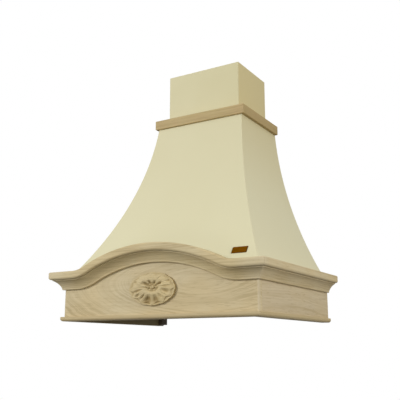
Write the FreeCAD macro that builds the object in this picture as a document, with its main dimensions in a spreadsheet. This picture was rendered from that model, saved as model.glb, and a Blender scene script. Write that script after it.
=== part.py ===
import FreeCAD, Part
import math
import os

import Sketcher

# Decorative cover for a kitchen extractor: a wooden base frame with an arched cornice, a flared
# sheet body, a wooden collar, and a square chimney that telescopes through the collar.
# Frame: origin on the wall plane, midway between the two hanger holes; +X to the right as seen
# from the room, +Y into the wall, +Z up. Millimetres. Heights are counted from the bottom edge
# while the pieces are made, and each finished piece is then lowered to the frame.

DRIVING = [
    ("board_width", 600),        # outside of the left board to outside of the right board
    ("board_depth", 465),        # wall to the face of the front board
    ("board_thick", 20),
    ("board_top", 131),          # top edge of the side boards, which the sheet body stands on
    ("corner_round", 2.5),       # rounding of the two front vertical corners
    ("lip_height", 12),          # strip under the boards, rounded mostly on its lower edge
    ("lip_proud", 7.5),
    ("lip_edge", 1.5),
    ("lip_round", 7),
    ("shoulder_top", 134.8),     # top of the cornice on its straight shoulders
    ("arch_rise", 58.5),         # crown of the arch above the shoulders
    ("arch_run", 252),           # half width of the arch, foot to middle
    ("arch_radius", 480),        # convex middle of the arch
    ("cornice_proud", 34),
    ("cornice_height", 48.5),
    ("band_height", 21.3),       # flat band at the top of the cornice, with its rounded foot
    ("band_round", 4),           # rounding of the band's upper edge
    ("ovolo", 6),                # rounding of the band's lower edge
    ("quirk_width", 2),          # groove behind the band's foot, cut up into it
    ("quirk_depth", 4),
    ("fillet", 2.6),             # height of the flat edge inside the quirk
    ("fillet_sill", 1.4),        # ledge between that edge and the cove
    ("cove_radius", 28),
    ("bead_proud", 6.5),         # foot of the cornice
    ("bead_height", 4),
    ("sheet", 1.2),              # painted sheet of the body and the chimney
    ("fold", 18),                # width of the flanges folded inwards
    ("side_low", 7),             # inset of the body's sides at the board top
    ("side_high", 153.6),        # and at the collar
    ("side_radius", 1134),
    ("front_low", 21.2),         # inset of the body's front at the board top
    ("front_high", 229.2),       # and at the collar
    ("front_radius", 1091),
    ("collar_low", 600),
    ("collar_height", 29),
    ("collar_width", 29.8),      # width of the collar's strips, seen from above
    ("chimney_half", 124.6),
    ("chimney_setback", 254.3),  # face of the front board to the face of the chimney
    ("chimney_wall_gap", 22.7),
    ("chimney_top", 780),
    ("chimney_length", 450),
    ("slide_gap", 1.6),          # chimney to the wood that it slides past
    ("glide_gap", 0.4),          # chimney to the pads that guide it
    ("neck_rail", 30),           # height of the rails inside the neck
    ("hanging_rail", 100),       # height of the rail that carries the cover on the wall
    ("rail_thick", 20),
    ("batten_width", 14),
    ("batten_depth", 30),
    ("rear_rail_low", 60),
    ("block", 30),               # square blocks inside the two front corners
    ("insert_rail_low", 25),
    ("screw_radius", 2),
    ("screw_head", 3.8),
    ("wall_hole", 3.25),         # radius of the holes for the wall screws
    ("hanger_x", 70),            # upper wall holes, either side of the middle
    ("hanger_level", 547),
    ("rear_hole_x", 220),        # lower wall holes
    ("rear_hole_level", 95),
    ("badge_width", 43),
    ("badge_height", 21),
    ("badge_x", 228),
    ("badge_level", 166.5),
    ("rosette_width", 146),
    ("rosette_height", 85),
    ("rosette_level", 76.5),
]
EASE = 0.5          # rails stop this far short of the curved sheet
FIT = 0.1           # holes are this much larger in radius than what they hold
SEAM = 0.15         # film of adhesive behind the seams of the sheets
OVERSHOOT = 5       # strips are made this much too long before they are mitred
LOBES = 12          # leaves round the rosette
PETALS = 8          # petals of its flower

doc = FreeCAD.newDocument("RangeHoodCover")
table = doc.addObject("Spreadsheet::Sheet", "Dims")


class Size:
    """A length held twice: as a number, and as an expression on the table of driving sizes."""

    def __init__(self, value, text):
        self.value = value
        self.text = text

    def join(self, other, sign, value):
        return Size(value, "(%s %s %s)" % (self.text, sign, other.text))

    def __add__(self, other):
        other = as_size(other)
        return self.join(other, "+", self.value + other.value)

    def __sub__(self, other):
        other = as_size(other)
        return self.join(other, "-", self.value - other.value)

    def __mul__(self, other):
        other = as_size(other)
        return self.join(other, "*", self.value * other.value)

    def __truediv__(self, other):
        other = as_size(other)
        return self.join(other, "/", self.value / other.value)

    def __neg__(self):
        return Size(-self.value, "(0 - %s)" % self.text)

    def __radd__(self, other):
        return as_size(other) + self

    def __rsub__(self, other):
        return as_size(other) - self

    def __rmul__(self, other):
        return as_size(other) * self


def as_size(number):
    """A plain number as a Size; a Size is returned as it is."""
    if isinstance(number, Size):
        return number
    text = "%.8g" % number
    return Size(float(number), "(0 - %.8g)" % -number if number < 0 else text)


def root(size):
    return Size(math.sqrt(size.value), "sqrt(%s)" % size.text)


class Names:
    """Holds the driving sizes by name."""


T = Names()
for row, (alias, number) in enumerate(DRIVING, start=1):
    table.set("A%d" % row, alias)
    table.set("B%d" % row, "%g" % number)
    table.setAlias("B%d" % row, alias)
    setattr(T, alias, Size(float(number), "Dims." + alias))
doc.recompute()

parts = []          # finished sub-parts, in the order they are made


def finish(thing, label):
    """Name a finished sub-part, and bring it down to the frame."""
    thing.Label = label
    thing.setExpression("Placement.Base.z", (-T.hanger_level).text)
    parts.append(thing)
    return thing


# ------------------------------------------------------------------ sketches and features

def bind(sketch, kind, geometry, size):
    """Add one dimension to a sketch and tie it to the table."""
    number = sketch.addConstraint(Sketcher.Constraint(kind, *geometry, size.value))
    sketch.setExpression("Constraints[%d]" % number, size.text)


def pin(sketch, edge, end, corner):
    """Fix one end of an edge by its two distances from the origin."""
    bind(sketch, "DistanceX", (-1, 1, edge, end), corner[0])
    bind(sketch, "DistanceY", (-1, 1, edge, end), corner[1])


def arc_through(p, q, radius, side):
    """The arc of this radius between p and q; side is +1 for a centre to the left of the way on.

    It is always drawn anticlockwise, so that it starts at q where the centre is to the right.
    """
    chord = q - p
    left = FreeCAD.Vector(-chord.y, chord.x, 0).normalize()
    rise = radius - math.sqrt(radius ** 2 - chord.Length ** 2 / 4)
    middle = (p + q) * 0.5 - left * (side * rise)
    return Part.Arc(p, middle, q) if side > 0 else Part.Arc(q, middle, p)


def draw(sketch, corners, closed=True):
    """Draw an outline whose corners and radii follow the table.

    Each corner is (x, y) when a straight edge leaves it, or (x, y, radius, side) when an arc does.
    """
    corners = [tuple(as_size(c) for c in corner[:3]) + corner[3:] for corner in corners]
    points = [FreeCAD.Vector(corner[0].value, corner[1].value, 0) for corner in corners]
    count = len(corners)
    edges = count if closed else count - 1
    ends = []
    for i in range(edges):
        p, q = points[i], points[(i + 1) % count]
        if len(corners[i]) == 2:
            sketch.addGeometry(Part.LineSegment(p, q), False)
            ends.append((1, 2))
        else:
            sketch.addGeometry(arc_through(p, q, corners[i][2].value, corners[i][3]), False)
            ends.append((1, 2) if corners[i][3] > 0 else (2, 1))
    for i in range(edges):
        pin(sketch, i, ends[i][0], corners[i])
        if closed or i + 1 < edges:
            after = (i + 1) % edges
            sketch.addConstraint(
                Sketcher.Constraint("Coincident", i, ends[i][1], after, ends[after][0]))
        else:
            pin(sketch, i, ends[i][1], corners[i + 1])
        if len(corners[i]) == 4:
            bind(sketch, "Radius", (i,), corners[i][2])


def sketch_on(body, role, level, corners, closed=True):
    """A sketch on one of the body's own planes, moved along the plane's axis to a level."""
    number = len(body.Group)
    sketch = body.newObject("Sketcher::SketchObject", "%sSketch%d" % (body.Name, number))
    origin_plane = [f for f in body.Origin.OriginFeatures if f.Role == role][0]
    sketch.AttachmentSupport = [(origin_plane, "")]
    sketch.MapMode = "FlatFace"
    along = -as_size(level) if role == "XZ_Plane" else as_size(level)
    sketch.setExpression("AttachmentOffset.Base.z", along.text)
    draw(sketch, corners, closed)
    return sketch


def extrude(body, kind, role, low, high, corners):
    """Pad or pocket an outline between two levels along the axis of its plane."""
    low, high = as_size(low), as_size(high)
    start = high if role == "XZ_Plane" else low
    profile = sketch_on(body, role, start, corners)
    feature = body.newObject("PartDesign::" + kind, "%s%s%d" % (body.Name, kind, len(body.Group)))
    feature.Profile = profile
    feature.Type = "Length"
    feature.Reversed = kind == "Pocket"
    feature.setExpression("Length", (high - low).text)
    before = 0 if body.Shape.isNull() else body.Shape.Volume
    doc.recompute()
    grown = body.Shape.Volume - before
    if (kind == "Pad") != (grown > 0) or abs(grown) < 1e-6:
        raise RuntimeError("%s of %s changed nothing" % (kind, body.Name))
    return feature


def new_body(label):
    body = doc.addObject("PartDesign::Body", "".join(word.title() for word in label.split("_")))
    doc.recompute()
    return body


def slab(label, role, low, high, corners):
    """A body that starts as one outline extruded between two levels."""
    body = new_body(label)
    extrude(body, "Pad", role, low, high, corners)
    return body


def rectangle(x_low, x_high, y_low, y_high):
    return [(x_low, y_low), (x_high, y_low), (x_high, y_high), (x_low, y_high)]


def place(thing, x, y, z):
    """Tie a thing's position to the table."""
    for axis, size in zip("xyz", (x, y, z)):
        thing.setExpression("Placement.Base." + axis, as_size(size).text)


def box(name, x_range, y_range, z_range):
    """A box between two levels on each axis."""
    block = doc.addObject("Part::Box", name)
    for side, levels in zip(("Length", "Width", "Height"), (x_range, y_range, z_range)):
        block.setExpression(side, (as_size(levels[1]) - as_size(levels[0])).text)
    place(block, x_range[0], y_range[0], z_range[0])
    return block


TURNS = {           # rotation that turns +Z to each direction of a screw
    "+x": FreeCAD.Rotation(FreeCAD.Vector(0, 1, 0), 90),
    "-x": FreeCAD.Rotation(FreeCAD.Vector(0, 1, 0), -90),
    "+y": FreeCAD.Rotation(FreeCAD.Vector(1, 0, 0), -90),
    "-y": FreeCAD.Rotation(FreeCAD.Vector(1, 0, 0), 90),
    "+z": FreeCAD.Rotation(),
    "-z": FreeCAD.Rotation(FreeCAD.Vector(1, 0, 0), 180),
}


def rod(name, spot, way, radius, length):
    """A cylinder that starts at a spot and runs in one of the six directions."""
    cylinder = doc.addObject("Part::Cylinder", name)
    cylinder.setExpression("Radius", as_size(radius).text)
    cylinder.setExpression("Height", as_size(length).text)
    cylinder.Placement = FreeCAD.Placement(FreeCAD.Vector(), TURNS[way])
    place(cylinder, *spot)
    return cylinder


def countersunk(name, spot, way, length, ease=0.0):
    """A flat-headed wood screw, or with ease the hole that it sits in."""
    cone = doc.addObject("Part::Cone", name + "Head")
    cone.setExpression("Radius1", (T.screw_head + ease).text)
    cone.setExpression("Radius2", (T.screw_radius + ease).text)
    cone.setExpression("Height", (T.screw_head - T.screw_radius).text)
    cone.Placement = FreeCAD.Placement(FreeCAD.Vector(), TURNS[way])
    place(cone, *spot)
    return [cone, rod(name + "Shank", spot, way, T.screw_radius + ease, as_size(length) + ease)]


def group(name, members):
    """One object of several solids, which stay apart where they do not touch."""
    fused = doc.addObject("Part::MultiFuse", name)
    fused.Shapes = members
    return fused


def screws(name, spots, way, length):
    """A group of screws that all run the same way, and the group of holes for them."""
    made, holes = [], []
    for i, spot in enumerate(spots):
        made += countersunk("%s%d" % (name, i), spot, way, length)
        holes += countersunk("%sHole%d" % (name, i), spot, way, length, FIT)
    return made, holes


def rounded(body, radius, chosen):
    """Round the edges of a body that pass a test."""
    before = body.Tip
    names = ["Edge%d" % (i + 1) for i, edge in enumerate(body.Shape.Edges) if chosen(edge)]
    fillet = body.newObject("PartDesign::Fillet", body.Name + "Rounding")
    fillet.Base = (before, names)
    fillet.setExpression("Radius", radius.text)
    doc.recompute()
    return fillet


def upright(edge, x, y):
    """True for a vertical edge at one place."""
    at = edge.BoundBox
    flat = max(at.XLength, at.YLength) < 1e-6
    return flat and abs(at.XMin - x.value) < 1e-6 and abs(at.YMin - y.value) < 1e-6


def drilled(label, base, holes):
    """A sub-part with its holes cut."""
    cut = doc.addObject("Part::Cut", "".join(word.title() for word in label.split("_")) + "Cut")
    cut.Base = base
    cut.Tool = group(cut.Name + "Holes", holes)
    return finish(cut, label)


# ------------------------------------------------------------------ levels and curves

half_width = T.board_width / 2
front_face = -T.board_depth
front_back = front_face + T.board_thick         # inner face of the front board
side_inside = half_width - T.board_thick        # inner face of the side boards
chimney_front = front_face + T.chimney_setback
chimney_back = -T.chimney_wall_gap
collar_inside = T.chimney_half + T.slide_gap
collar_outside = collar_inside + T.collar_width
collar_back_of_front = chimney_front - T.slide_gap
collar_front_face = collar_back_of_front - T.collar_width
collar_top = T.collar_low + T.collar_height


class Flare:
    """The hollow curve of the body: how far its skin stands in from the boards, by height."""

    def __init__(self, low, high, radius):
        across = high - low
        up = T.collar_low - T.board_top
        chord = root(across * across + up * up)
        reach = root(radius * radius - chord * chord / 4)
        self.radius = radius
        self.centre_inset = (low + high) / 2 - reach * up / chord
        self.centre_level = (T.board_top + T.collar_low) / 2 + reach * across / chord

    def inset(self, level, depth=0.0):
        """Inset of the surface that lies a depth inside the skin, at one height."""
        radius = self.radius + depth
        drop = as_size(level) - self.centre_level
        return self.centre_inset + root(radius * radius - drop * drop)


side_flare = Flare(T.side_low, T.side_high, T.side_radius)
front_flare = Flare(T.front_low, T.front_high, T.front_radius)


def side_x(sign, level, depth=0.0):
    return sign * (half_width - side_flare.inset(level, depth))


def front_y(level, depth=0.0):
    return front_face + front_flare.inset(level, depth)


half_tangent = T.arch_rise / T.arch_run         # tangent of half the slope where the arcs meet
arch_sine = 2 * half_tangent / (1 + half_tangent * half_tangent)
arch_drop = 2 * half_tangent * half_tangent / (1 + half_tangent * half_tangent)
ogee_radius = T.arch_run / arch_sine - T.arch_radius
ogee_x = T.arch_radius * arch_sine


def arch(level, reach, rightwards):
    """The serpentine line of the front: shoulder, hollow, round crown, hollow, shoulder."""
    way = 1 if rightwards else -1
    meet = level + ogee_radius * arch_drop
    return [(-way * reach, level),
            (-way * T.arch_run, level, ogee_radius, way),
            (-way * ogee_x, meet, T.arch_radius, -way),
            (way * ogee_x, meet, ogee_radius, way),
            (way * T.arch_run, level),
            (way * reach, level)]


# ------------------------------------------------------------------ base frame

def cornice_section(base, sign):
    """Section of the cornice: band with an ovolo foot, quirk, fillet, cove and bead."""
    top = T.shoulder_top
    face = T.cornice_proud
    band_foot = top - T.band_height
    ovolo_back = face - T.ovolo
    fillet_face = ovolo_back - T.quirk_width
    fillet_low = band_foot - T.fillet

    def at(proud, level, *bend):
        return (base + sign * proud, level) + bend

    return [at(as_size(0), top),
            at(face - T.band_round, top, T.band_round, -sign),
            at(face, top - T.band_round),
            at(face, band_foot + T.ovolo, T.ovolo, -sign),
            at(ovolo_back, band_foot),
            at(ovolo_back, band_foot + T.quirk_depth),
            at(fillet_face, band_foot + T.quirk_depth),
            at(fillet_face, fillet_low),
            at(fillet_face - T.fillet_sill, fillet_low, T.cove_radius, sign),
            at(T.bead_proud, top - T.cornice_height + T.bead_height),
            at(T.bead_proud, top - T.cornice_height),
            at(as_size(0), top - T.cornice_height)]


def lip_section(base, sign):
    """Section of the lip: as wide as the board and its overhang, with two rounded edges."""
    proud = T.lip_proud

    def at(out, level, *bend):
        return (base + sign * out, level) + bend

    return [at(-T.board_thick, T.lip_height),
            at(proud - T.lip_edge, T.lip_height, T.lip_edge, -sign),
            at(proud, T.lip_height - T.lip_edge),
            at(proud, T.lip_round, T.lip_round, -sign),
            at(proud - T.lip_round, 0),
            at(-T.board_thick, 0)]


def mitre(body, sign, corner_x, corner_y, keep_front):
    """Cut a body at 45 degrees through a corner, keeping its front or its side half."""
    reach = 60
    inner = (sign * (corner_x - reach), corner_y + reach)
    outer = (sign * (corner_x + reach), corner_y - reach)
    third = (outer[0], inner[1]) if keep_front else (inner[0], outer[1])
    extrude(body, "Pocket", "XY_Plane", -10, collar_top + 10, [inner, outer, third])


SIDES = (("left", -1), ("right", 1))
X, Y, Z = "YZ_Plane", "XZ_Plane", "XY_Plane"      # the plane that each axis is square to

side_screws = {"block": [], "insert": [], "batten": [], "dowel": [], "flange": []}
side_flange_holes = {}
ledger_low = T.board_top - T.neck_rail
flange_top = T.board_top + T.sheet
block_inner = side_inside - T.block
block_back = front_back + T.block
insert_rail_inner = side_inside - T.rail_thick
batten_inner = side_inside - T.batten_width

# front board, with its arched top and its rounded front corners
block_front_screws, block_front_holes = screws(
    "BlockFrontScrew",
    [(sign * (side_inside - 12), block_back, z) for _, sign in SIDES for z in (30, 80)],
    "-y", T.block + 10)
ledger_screws, ledger_holes = screws(
    "LedgerScrew", [(x, front_back + T.rail_thick, ledger_low + 13) for x in (-240, -100, 100, 240)],
    "-y", T.rail_thick + 10)
front_board = slab("front_board_blank", Y, front_face, front_back,
                   [(-half_width, T.lip_height), (half_width, T.lip_height)]
                   + arch(T.shoulder_top - 3, half_width, False))
rounded(front_board, T.corner_round,
        lambda edge: upright(edge, half_width, front_face) or upright(edge, -half_width, front_face))
drilled("front_board", front_board, block_front_holes + ledger_holes)

# front cornice: its section carried along the serpentine line, then mitred at both ends
cornice_reach = half_width + T.cornice_proud + OVERSHOOT
front_cornice = new_body("front_cornice")
line = sketch_on(front_cornice, Y, front_face, arch(T.shoulder_top, cornice_reach, True), False)
section = sketch_on(front_cornice, X, -cornice_reach, cornice_section(front_face, -1))
moulding = front_cornice.newObject("PartDesign::AdditivePipe", "FrontCorniceMoulding")
moulding.Profile = section
moulding.Spine = line
doc.recompute()
for _, sign in SIDES:
    mitre(front_cornice, sign, half_width, front_face, True)
finish(front_cornice, "front_cornice")

# front lip
lip_reach = half_width + T.lip_proud + OVERSHOOT
front_lip = slab("front_lip", X, -lip_reach, lip_reach, lip_section(front_face, -1))
for _, sign in SIDES:
    mitre(front_lip, sign, half_width, front_face, True)
finish(front_lip, "front_lip")

# both sides of the frame: board, cornice, lip, corner block, wall batten and insert rail
for side, sign in SIDES:
    outward = "+x" if sign > 0 else "-x"
    name = side.title()

    def across(low, high):
        """A range of X on this side, from two distances to the middle."""
        return (low, high) if sign > 0 else (-high, -low)

    block_screws, block_holes = screws(
        name + "BlockScrew", [(sign * block_inner, front_back + 18, z) for z in (45, 92)],
        outward, T.block + 10)
    insert_screws, insert_holes = screws(
        name + "InsertScrew",
        [(sign * insert_rail_inner, y, T.insert_rail_low + 10) for y in (-370, -222, -75)],
        outward, T.rail_thick + 10)
    batten_screws, batten_holes = screws(
        name + "BattenScrew", [(sign * batten_inner, -15, z) for z in (25, 45)],
        outward, T.batten_width + 12)
    flange_screws, flange_holes = screws(
        name + "FlangeScrew", [(sign * (half_width - 13.5), y, flange_top) for y in (-380, -230, -80)],
        "-z", 22)
    dowel_spots = [(sign * (batten_inner - 12), -10, z) for z in (80, 110)]
    dowels = [rod(name + "Dowel%d" % i, spot, outward, 4, 24) for i, spot in enumerate(dowel_spots)]
    dowel_holes = [rod(name + "DowelHole%d" % i, spot, outward, 4 + FIT, 24 + FIT)
                   for i, spot in enumerate(dowel_spots)]
    side_screws["block"] += block_screws
    side_screws["insert"] += insert_screws
    side_screws["batten"] += batten_screws
    side_screws["dowel"] += dowels
    side_screws["flange"] += flange_screws
    side_flange_holes[side] = flange_holes

    board = box(name + "Board", across(side_inside, half_width), (front_back, 0),
                (T.lip_height, T.board_top))
    drilled(side + "_board", board, block_holes + insert_holes + batten_holes + flange_holes)

    cornice = slab(side + "_cornice", Y, front_face - T.cornice_proud - OVERSHOOT, 0,
                   cornice_section(sign * half_width, sign))
    mitre(cornice, sign, half_width, front_face, False)
    finish(cornice, side + "_cornice")

    lip = slab(side + "_lip", Y, front_face - T.lip_proud - OVERSHOOT, 0,
               lip_section(sign * half_width, sign))
    mitre(lip, sign, half_width, front_face, False)
    finish(lip, side + "_lip")

    corner = box(name + "Block", across(block_inner, side_inside), (front_back, block_back),
                 (T.lip_height, ledger_low))
    drilled(side + "_corner_block", corner, block_front_holes + block_holes)

    batten = box(name + "Batten", across(batten_inner, side_inside), (-T.batten_depth, 0),
                 (3, T.board_top))
    drilled(side + "_wall_batten", batten, batten_holes + dowel_holes)

    rail = box(name + "InsertRail", across(insert_rail_inner, side_inside),
               (block_back + 2, -T.batten_depth - 2),
               (T.insert_rail_low, T.insert_rail_low + T.rail_thick))
    insert_bores = [rod("%sInsertBore%d" % (name, i), (sign * (side_inside - 10), y,
                    T.insert_rail_low - 1), "+z", 2.25, T.rail_thick + 2)
                    for i, y in enumerate((-340, -120))]
    drilled(side + "_insert_rail", rail, insert_holes + insert_bores)

# ledger behind the front board, and the rail low on the wall
flange_front_screws, flange_front_holes = screws(
    "FlangeFrontScrew", [(x, front_back + 10, flange_top) for x in (-200, 0, 200)], "-z", 22)
ledger = box("Ledger", (-side_inside, side_inside), (front_back, front_back + T.rail_thick),
             (ledger_low, T.board_top))
drilled("front_ledger", ledger, ledger_holes + flange_front_holes)

rear_rail = box("RearRail", (-batten_inner, batten_inner), (-T.rail_thick, 0),
                (T.rear_rail_low, T.board_top))
rear_rail_holes = [rod("RearHole%d" % sign, (sign * T.rear_hole_x, -T.rail_thick - 1,
                   T.rear_hole_level), "+y", T.wall_hole, T.rail_thick + 2) for _, sign in SIDES]
rear_dowel_holes = [rod("RearDowelHole%d_%d" % (sign, z), (sign * (batten_inner - 12 - FIT), -10, z),
                        "+x" if sign > 0 else "-x", 4 + FIT, 20) for _, sign in SIDES for z in (80, 110)]
drilled("rear_rail", rear_rail, rear_rail_holes + rear_dowel_holes)

# ------------------------------------------------------------------ sheet body

BEYOND = 60     # how far a cutting outline reaches past the skin


def trim_side(body, depth, keep_inside):
    """Cut away what lies outside (or inside) the side curve at a depth, on both sides."""
    low, high = T.board_top - 5, T.collar_low + 5
    limit = half_width + BEYOND if keep_inside else as_size(0)
    for _, sign in SIDES:
        radius = side_flare.radius + depth
        extrude(body, "Pocket", Y, front_face - BEYOND, 10,
                [(sign * limit, low), (side_x(sign, low, depth), low, radius, -sign),
                 (side_x(sign, high, depth), high), (sign * limit, high)])


rear_screws = []
rear_screw_holes = {}
for side, sign in SIDES:
    made, holes = screws("%sRearScrew" % side.title(), [(sign * 138, 0, z) for z in (520, 575)],
                         "-y", 16)
    rear_screws += made
    rear_screw_holes[side] = holes
seam_low = flange_top + 1
seam_high = T.collar_low - T.neck_rail - 2

front_sheet = slab(
    "body_front_blank", X, -half_width, half_width,
    [(front_y(T.board_top), T.board_top, T.front_radius, 1),
     (front_y(T.collar_low), T.collar_low),
     (front_y(T.collar_low, T.sheet), T.collar_low, T.front_radius + T.sheet, -1),
     (front_y(flange_top, T.sheet), flange_top),
     (front_y(T.board_top) + T.fold, flange_top),
     (front_y(T.board_top) + T.fold, T.board_top)])
trim_side(front_sheet, as_size(0), True)
fold_front = front_y(T.board_top, T.sheet) + 1
fold_back = front_y(T.board_top) + T.fold + 1
fold_end = side_x(1, T.board_top, T.sheet) - 1
for _, sign in SIDES:       # the flange stops short of the side sheets
    extrude(front_sheet, "Pocket", Z, T.board_top - 1, flange_top + 1,
            rectangle(sign * fold_end, sign * half_width, fold_front, fold_back))
drilled("body_front", front_sheet, flange_front_holes)

for side, sign in SIDES:
    depth = T.sheet
    low, high = T.board_top, T.collar_low
    radius = side_flare.radius
    sheet = slab(
        side + "_body_side_blank", Y, fold_back - T.fold - 25, 0,
        [(side_x(sign, low), low, radius, -sign), (side_x(sign, high), high),
         (side_x(sign, high, depth), high, radius + depth, sign), (side_x(sign, low, depth), low)])
    extrude(sheet, "Pad", Y, fold_back, 0,
            [(side_x(sign, low), low), (side_x(sign, flange_top), flange_top),
             (side_x(sign, low) - sign * T.fold, flange_top), (side_x(sign, low) - sign * T.fold, low)])
    inner = depth + T.fold
    extrude(sheet, "Pad", Y, -T.sheet, 0,
            [(side_x(sign, flange_top, 0.5), flange_top, radius + 0.5, -sign),
             (side_x(sign, high, 0.5), high),
             (side_x(sign, high, inner), high, radius + inner, sign),
             (side_x(sign, flange_top, inner), flange_top)])
    extrude(sheet, "Pocket", X, -half_width - BEYOND, half_width + BEYOND,
            [(front_face - BEYOND, low - 5),
             (front_y(low - 5, T.sheet), low - 5, T.front_radius + T.sheet, 1),
             (front_y(high + 5, T.sheet), high + 5), (front_face - BEYOND, high + 5)])
    rear_holes = rear_screw_holes[side]
    drilled(side + "_body_side", sheet, side_flange_holes[side] + rear_holes)

    # strip behind the seam of the front sheet and this side sheet
    outer, inner = T.sheet + SEAM, 2 * T.sheet + SEAM
    strip = slab(
        side + "_seam_strip", X, *((40, half_width) if sign > 0 else (-half_width, -40)),
        [(front_y(seam_low, outer), seam_low, T.front_radius + outer, 1),
         (front_y(seam_high, outer), seam_high),
         (front_y(seam_high, inner), seam_high, T.front_radius + inner, -1),
         (front_y(seam_low, inner), seam_low)])
    for depth, limit in ((outer, sign * (half_width + BEYOND)), (inner + T.fold, as_size(0))):
        extrude(strip, "Pocket", Y, front_face - BEYOND, 0,
                [(limit, low - 5), (side_x(sign, low - 5, depth), low - 5, radius + depth, -sign),
                 (side_x(sign, high + 5, depth), high + 5), (limit, high + 5)])
    finish(strip, side + "_seam_strip")

# ------------------------------------------------------------------ neck, collar and hangers

rail_half = half_width - side_flare.inset(T.collar_low, T.sheet) - EASE
rail_front = front_y(T.collar_low, T.sheet) + EASE
hanging_front = -T.sheet - T.rail_thick
neck_low = T.collar_low - T.neck_rail

front_collar_screws, front_collar_holes = screws(
    "CollarScrewFront", [(x, collar_back_of_front - 11, neck_low) for x in (-90, 90)], "+z", 48)
neck_front = box("NeckFront", (-rail_half, rail_half), (rail_front, collar_back_of_front),
                 (neck_low, T.collar_low))
drilled("neck_front_rail", neck_front, front_collar_holes)
collar_front = slab("collar_front_blank", Z, T.collar_low, collar_top,
                    [(-collar_outside, collar_front_face), (collar_outside, collar_front_face),
                     (collar_inside, collar_back_of_front), (-collar_inside, collar_back_of_front)])
drilled("collar_front", collar_front, front_collar_holes)

collar_screws = front_collar_screws
for side, sign in SIDES:
    name = side.title()
    outer = sign * collar_outside
    inner = sign * collar_inside
    made, holes = screws(name + "CollarScrew",
                         [(sign * (collar_inside + 9), y, neck_low) for y in (-170, -60)], "+z", 48)
    collar_screws += made
    low_x, high_x = (collar_inside, rail_half) if sign > 0 else (-rail_half, -collar_inside)
    rail = box(name + "NeckRail", (low_x, high_x), (collar_back_of_front, hanging_front),
               (neck_low, T.collar_low))
    drilled("neck_%s_rail" % side, rail, holes)
    strip = slab("collar_%s_blank" % side, Z, T.collar_low, collar_top,
                 [(outer, collar_front_face), (outer, as_size(0)), (inner, as_size(0)),
                  (inner, collar_back_of_front)])
    drilled("collar_" + side, strip, holes)
finish(slab("collar_back", Z, T.collar_low, collar_top,
            rectangle(-collar_inside, collar_inside, -T.rail_thick, 0)), "collar_back")

plate_screws, plate_holes = screws(
    "HangerScrew", [(sign * T.hanger_x + step, 0, T.hanger_level)
                    for _, sign in SIDES for step in (-20, 20)], "-y", 15)
wall_bores = [rod("HangerBore%d" % (sign + 1), (sign * T.hanger_x, 1, T.hanger_level), "-y",
                  T.wall_hole, T.rail_thick + 4) for _, sign in SIDES]
sinks = [rod("HangerSink%d" % (sign + 1), (sign * T.hanger_x, hanging_front - 1, T.hanger_level),
             "+y", 8, 11) for _, sign in SIDES]
hanging = box("HangingRail", (-rail_half, rail_half), (hanging_front, -T.sheet),
              (T.collar_low - T.hanging_rail, T.collar_low))
drilled("hanging_rail", hanging,
        plate_holes + wall_bores + sinks + rear_screw_holes["left"] + rear_screw_holes["right"])
for side, sign in SIDES:
    middle = sign * T.hanger_x
    plate = box(side.title() + "Hanger", (middle - 30, middle + 30), (-T.sheet, 0),
                (T.hanger_level - 20, T.hanger_level + 20))
    drilled(side + "_hanger_plate", plate, plate_holes + wall_bores)

# ------------------------------------------------------------------ chimney

chimney_low = T.chimney_top - T.chimney_length
wall = T.sheet
outline = [(-T.chimney_half, chimney_front), (T.chimney_half, chimney_front),
           (T.chimney_half, chimney_back), (T.chimney_half - T.fold, chimney_back),
           (T.chimney_half - T.fold, chimney_back - wall), (T.chimney_half - wall, chimney_back - wall),
           (T.chimney_half - wall, chimney_front + wall), (-T.chimney_half + wall, chimney_front + wall),
           (-T.chimney_half + wall, chimney_back - wall),
           (-T.chimney_half + T.fold, chimney_back - wall), (-T.chimney_half + T.fold, chimney_back),
           (-T.chimney_half, chimney_back)]
chimney = slab("chimney_blank", Z, chimney_low, T.chimney_top, outline)
bracket_level = T.chimney_top - 30
bracket_back = chimney_back + 2
bracket_spots = [(sign * (T.chimney_half - 10), bracket_back, bracket_level) for _, sign in SIDES]
bracket_bolts = []
bracket_holes = []
for i, spot in enumerate(bracket_spots):
    bracket_bolts.append(rod("BracketBolt%d" % i, spot, "-y", T.screw_radius, 9))
    bracket_bolts.append(rod("BracketBoltHead%d" % i, spot, "+y", T.screw_head, 2.4))
    bracket_holes.append(rod("BracketBoltHole%d" % i, (spot[0], spot[1] + 1, spot[2]), "-y",
                             T.screw_radius + FIT, 9))
drilled("chimney_cover", chimney, bracket_holes)
bracket_wall_holes = [rod("BracketHole%d" % (sign + 1), (sign * 60, bracket_back + 1, bracket_level),
                          "-y", T.wall_hole, 4) for _, sign in SIDES]
bracket = slab("chimney_bracket_blank", X, -T.chimney_half + 4, T.chimney_half - 4,
               [(chimney_back, bracket_level - 15), (bracket_back, bracket_level - 15),
                (bracket_back, bracket_level + 15), (chimney_back, bracket_level + 15)])
extrude(bracket, "Pad", X, -T.chimney_half + T.fold + 4, T.chimney_half - T.fold - 4,
        [(chimney_back - 28, bracket_level - 15), (bracket_back, bracket_level - 15),
         (bracket_back, bracket_level - 13), (chimney_back - 28, bracket_level - 13)])
drilled("chimney_bracket", bracket, bracket_holes + bracket_wall_holes)

pads = []
for side, sign in SIDES:
    near = T.chimney_half + T.glide_gap
    for y in (-190, -60):
        low_x, high_x = (near, collar_inside) if sign > 0 else (-collar_inside, -near)
        pads.append(box("%sPad%d" % (side.title(), -y), (low_x, high_x), (y, y + 25),
                        (neck_low + 5, neck_low + 25)))
    pads.append(box(side.title() + "FrontPad", (sign * 75 - 12.5, sign * 75 + 12.5),
                    (collar_back_of_front, chimney_front - T.glide_gap),
                    (neck_low + 5, neck_low + 25)))
finish(group("ChimneyGlides", pads), "chimney_glides")

# ------------------------------------------------------------------ rosette and badge

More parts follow.
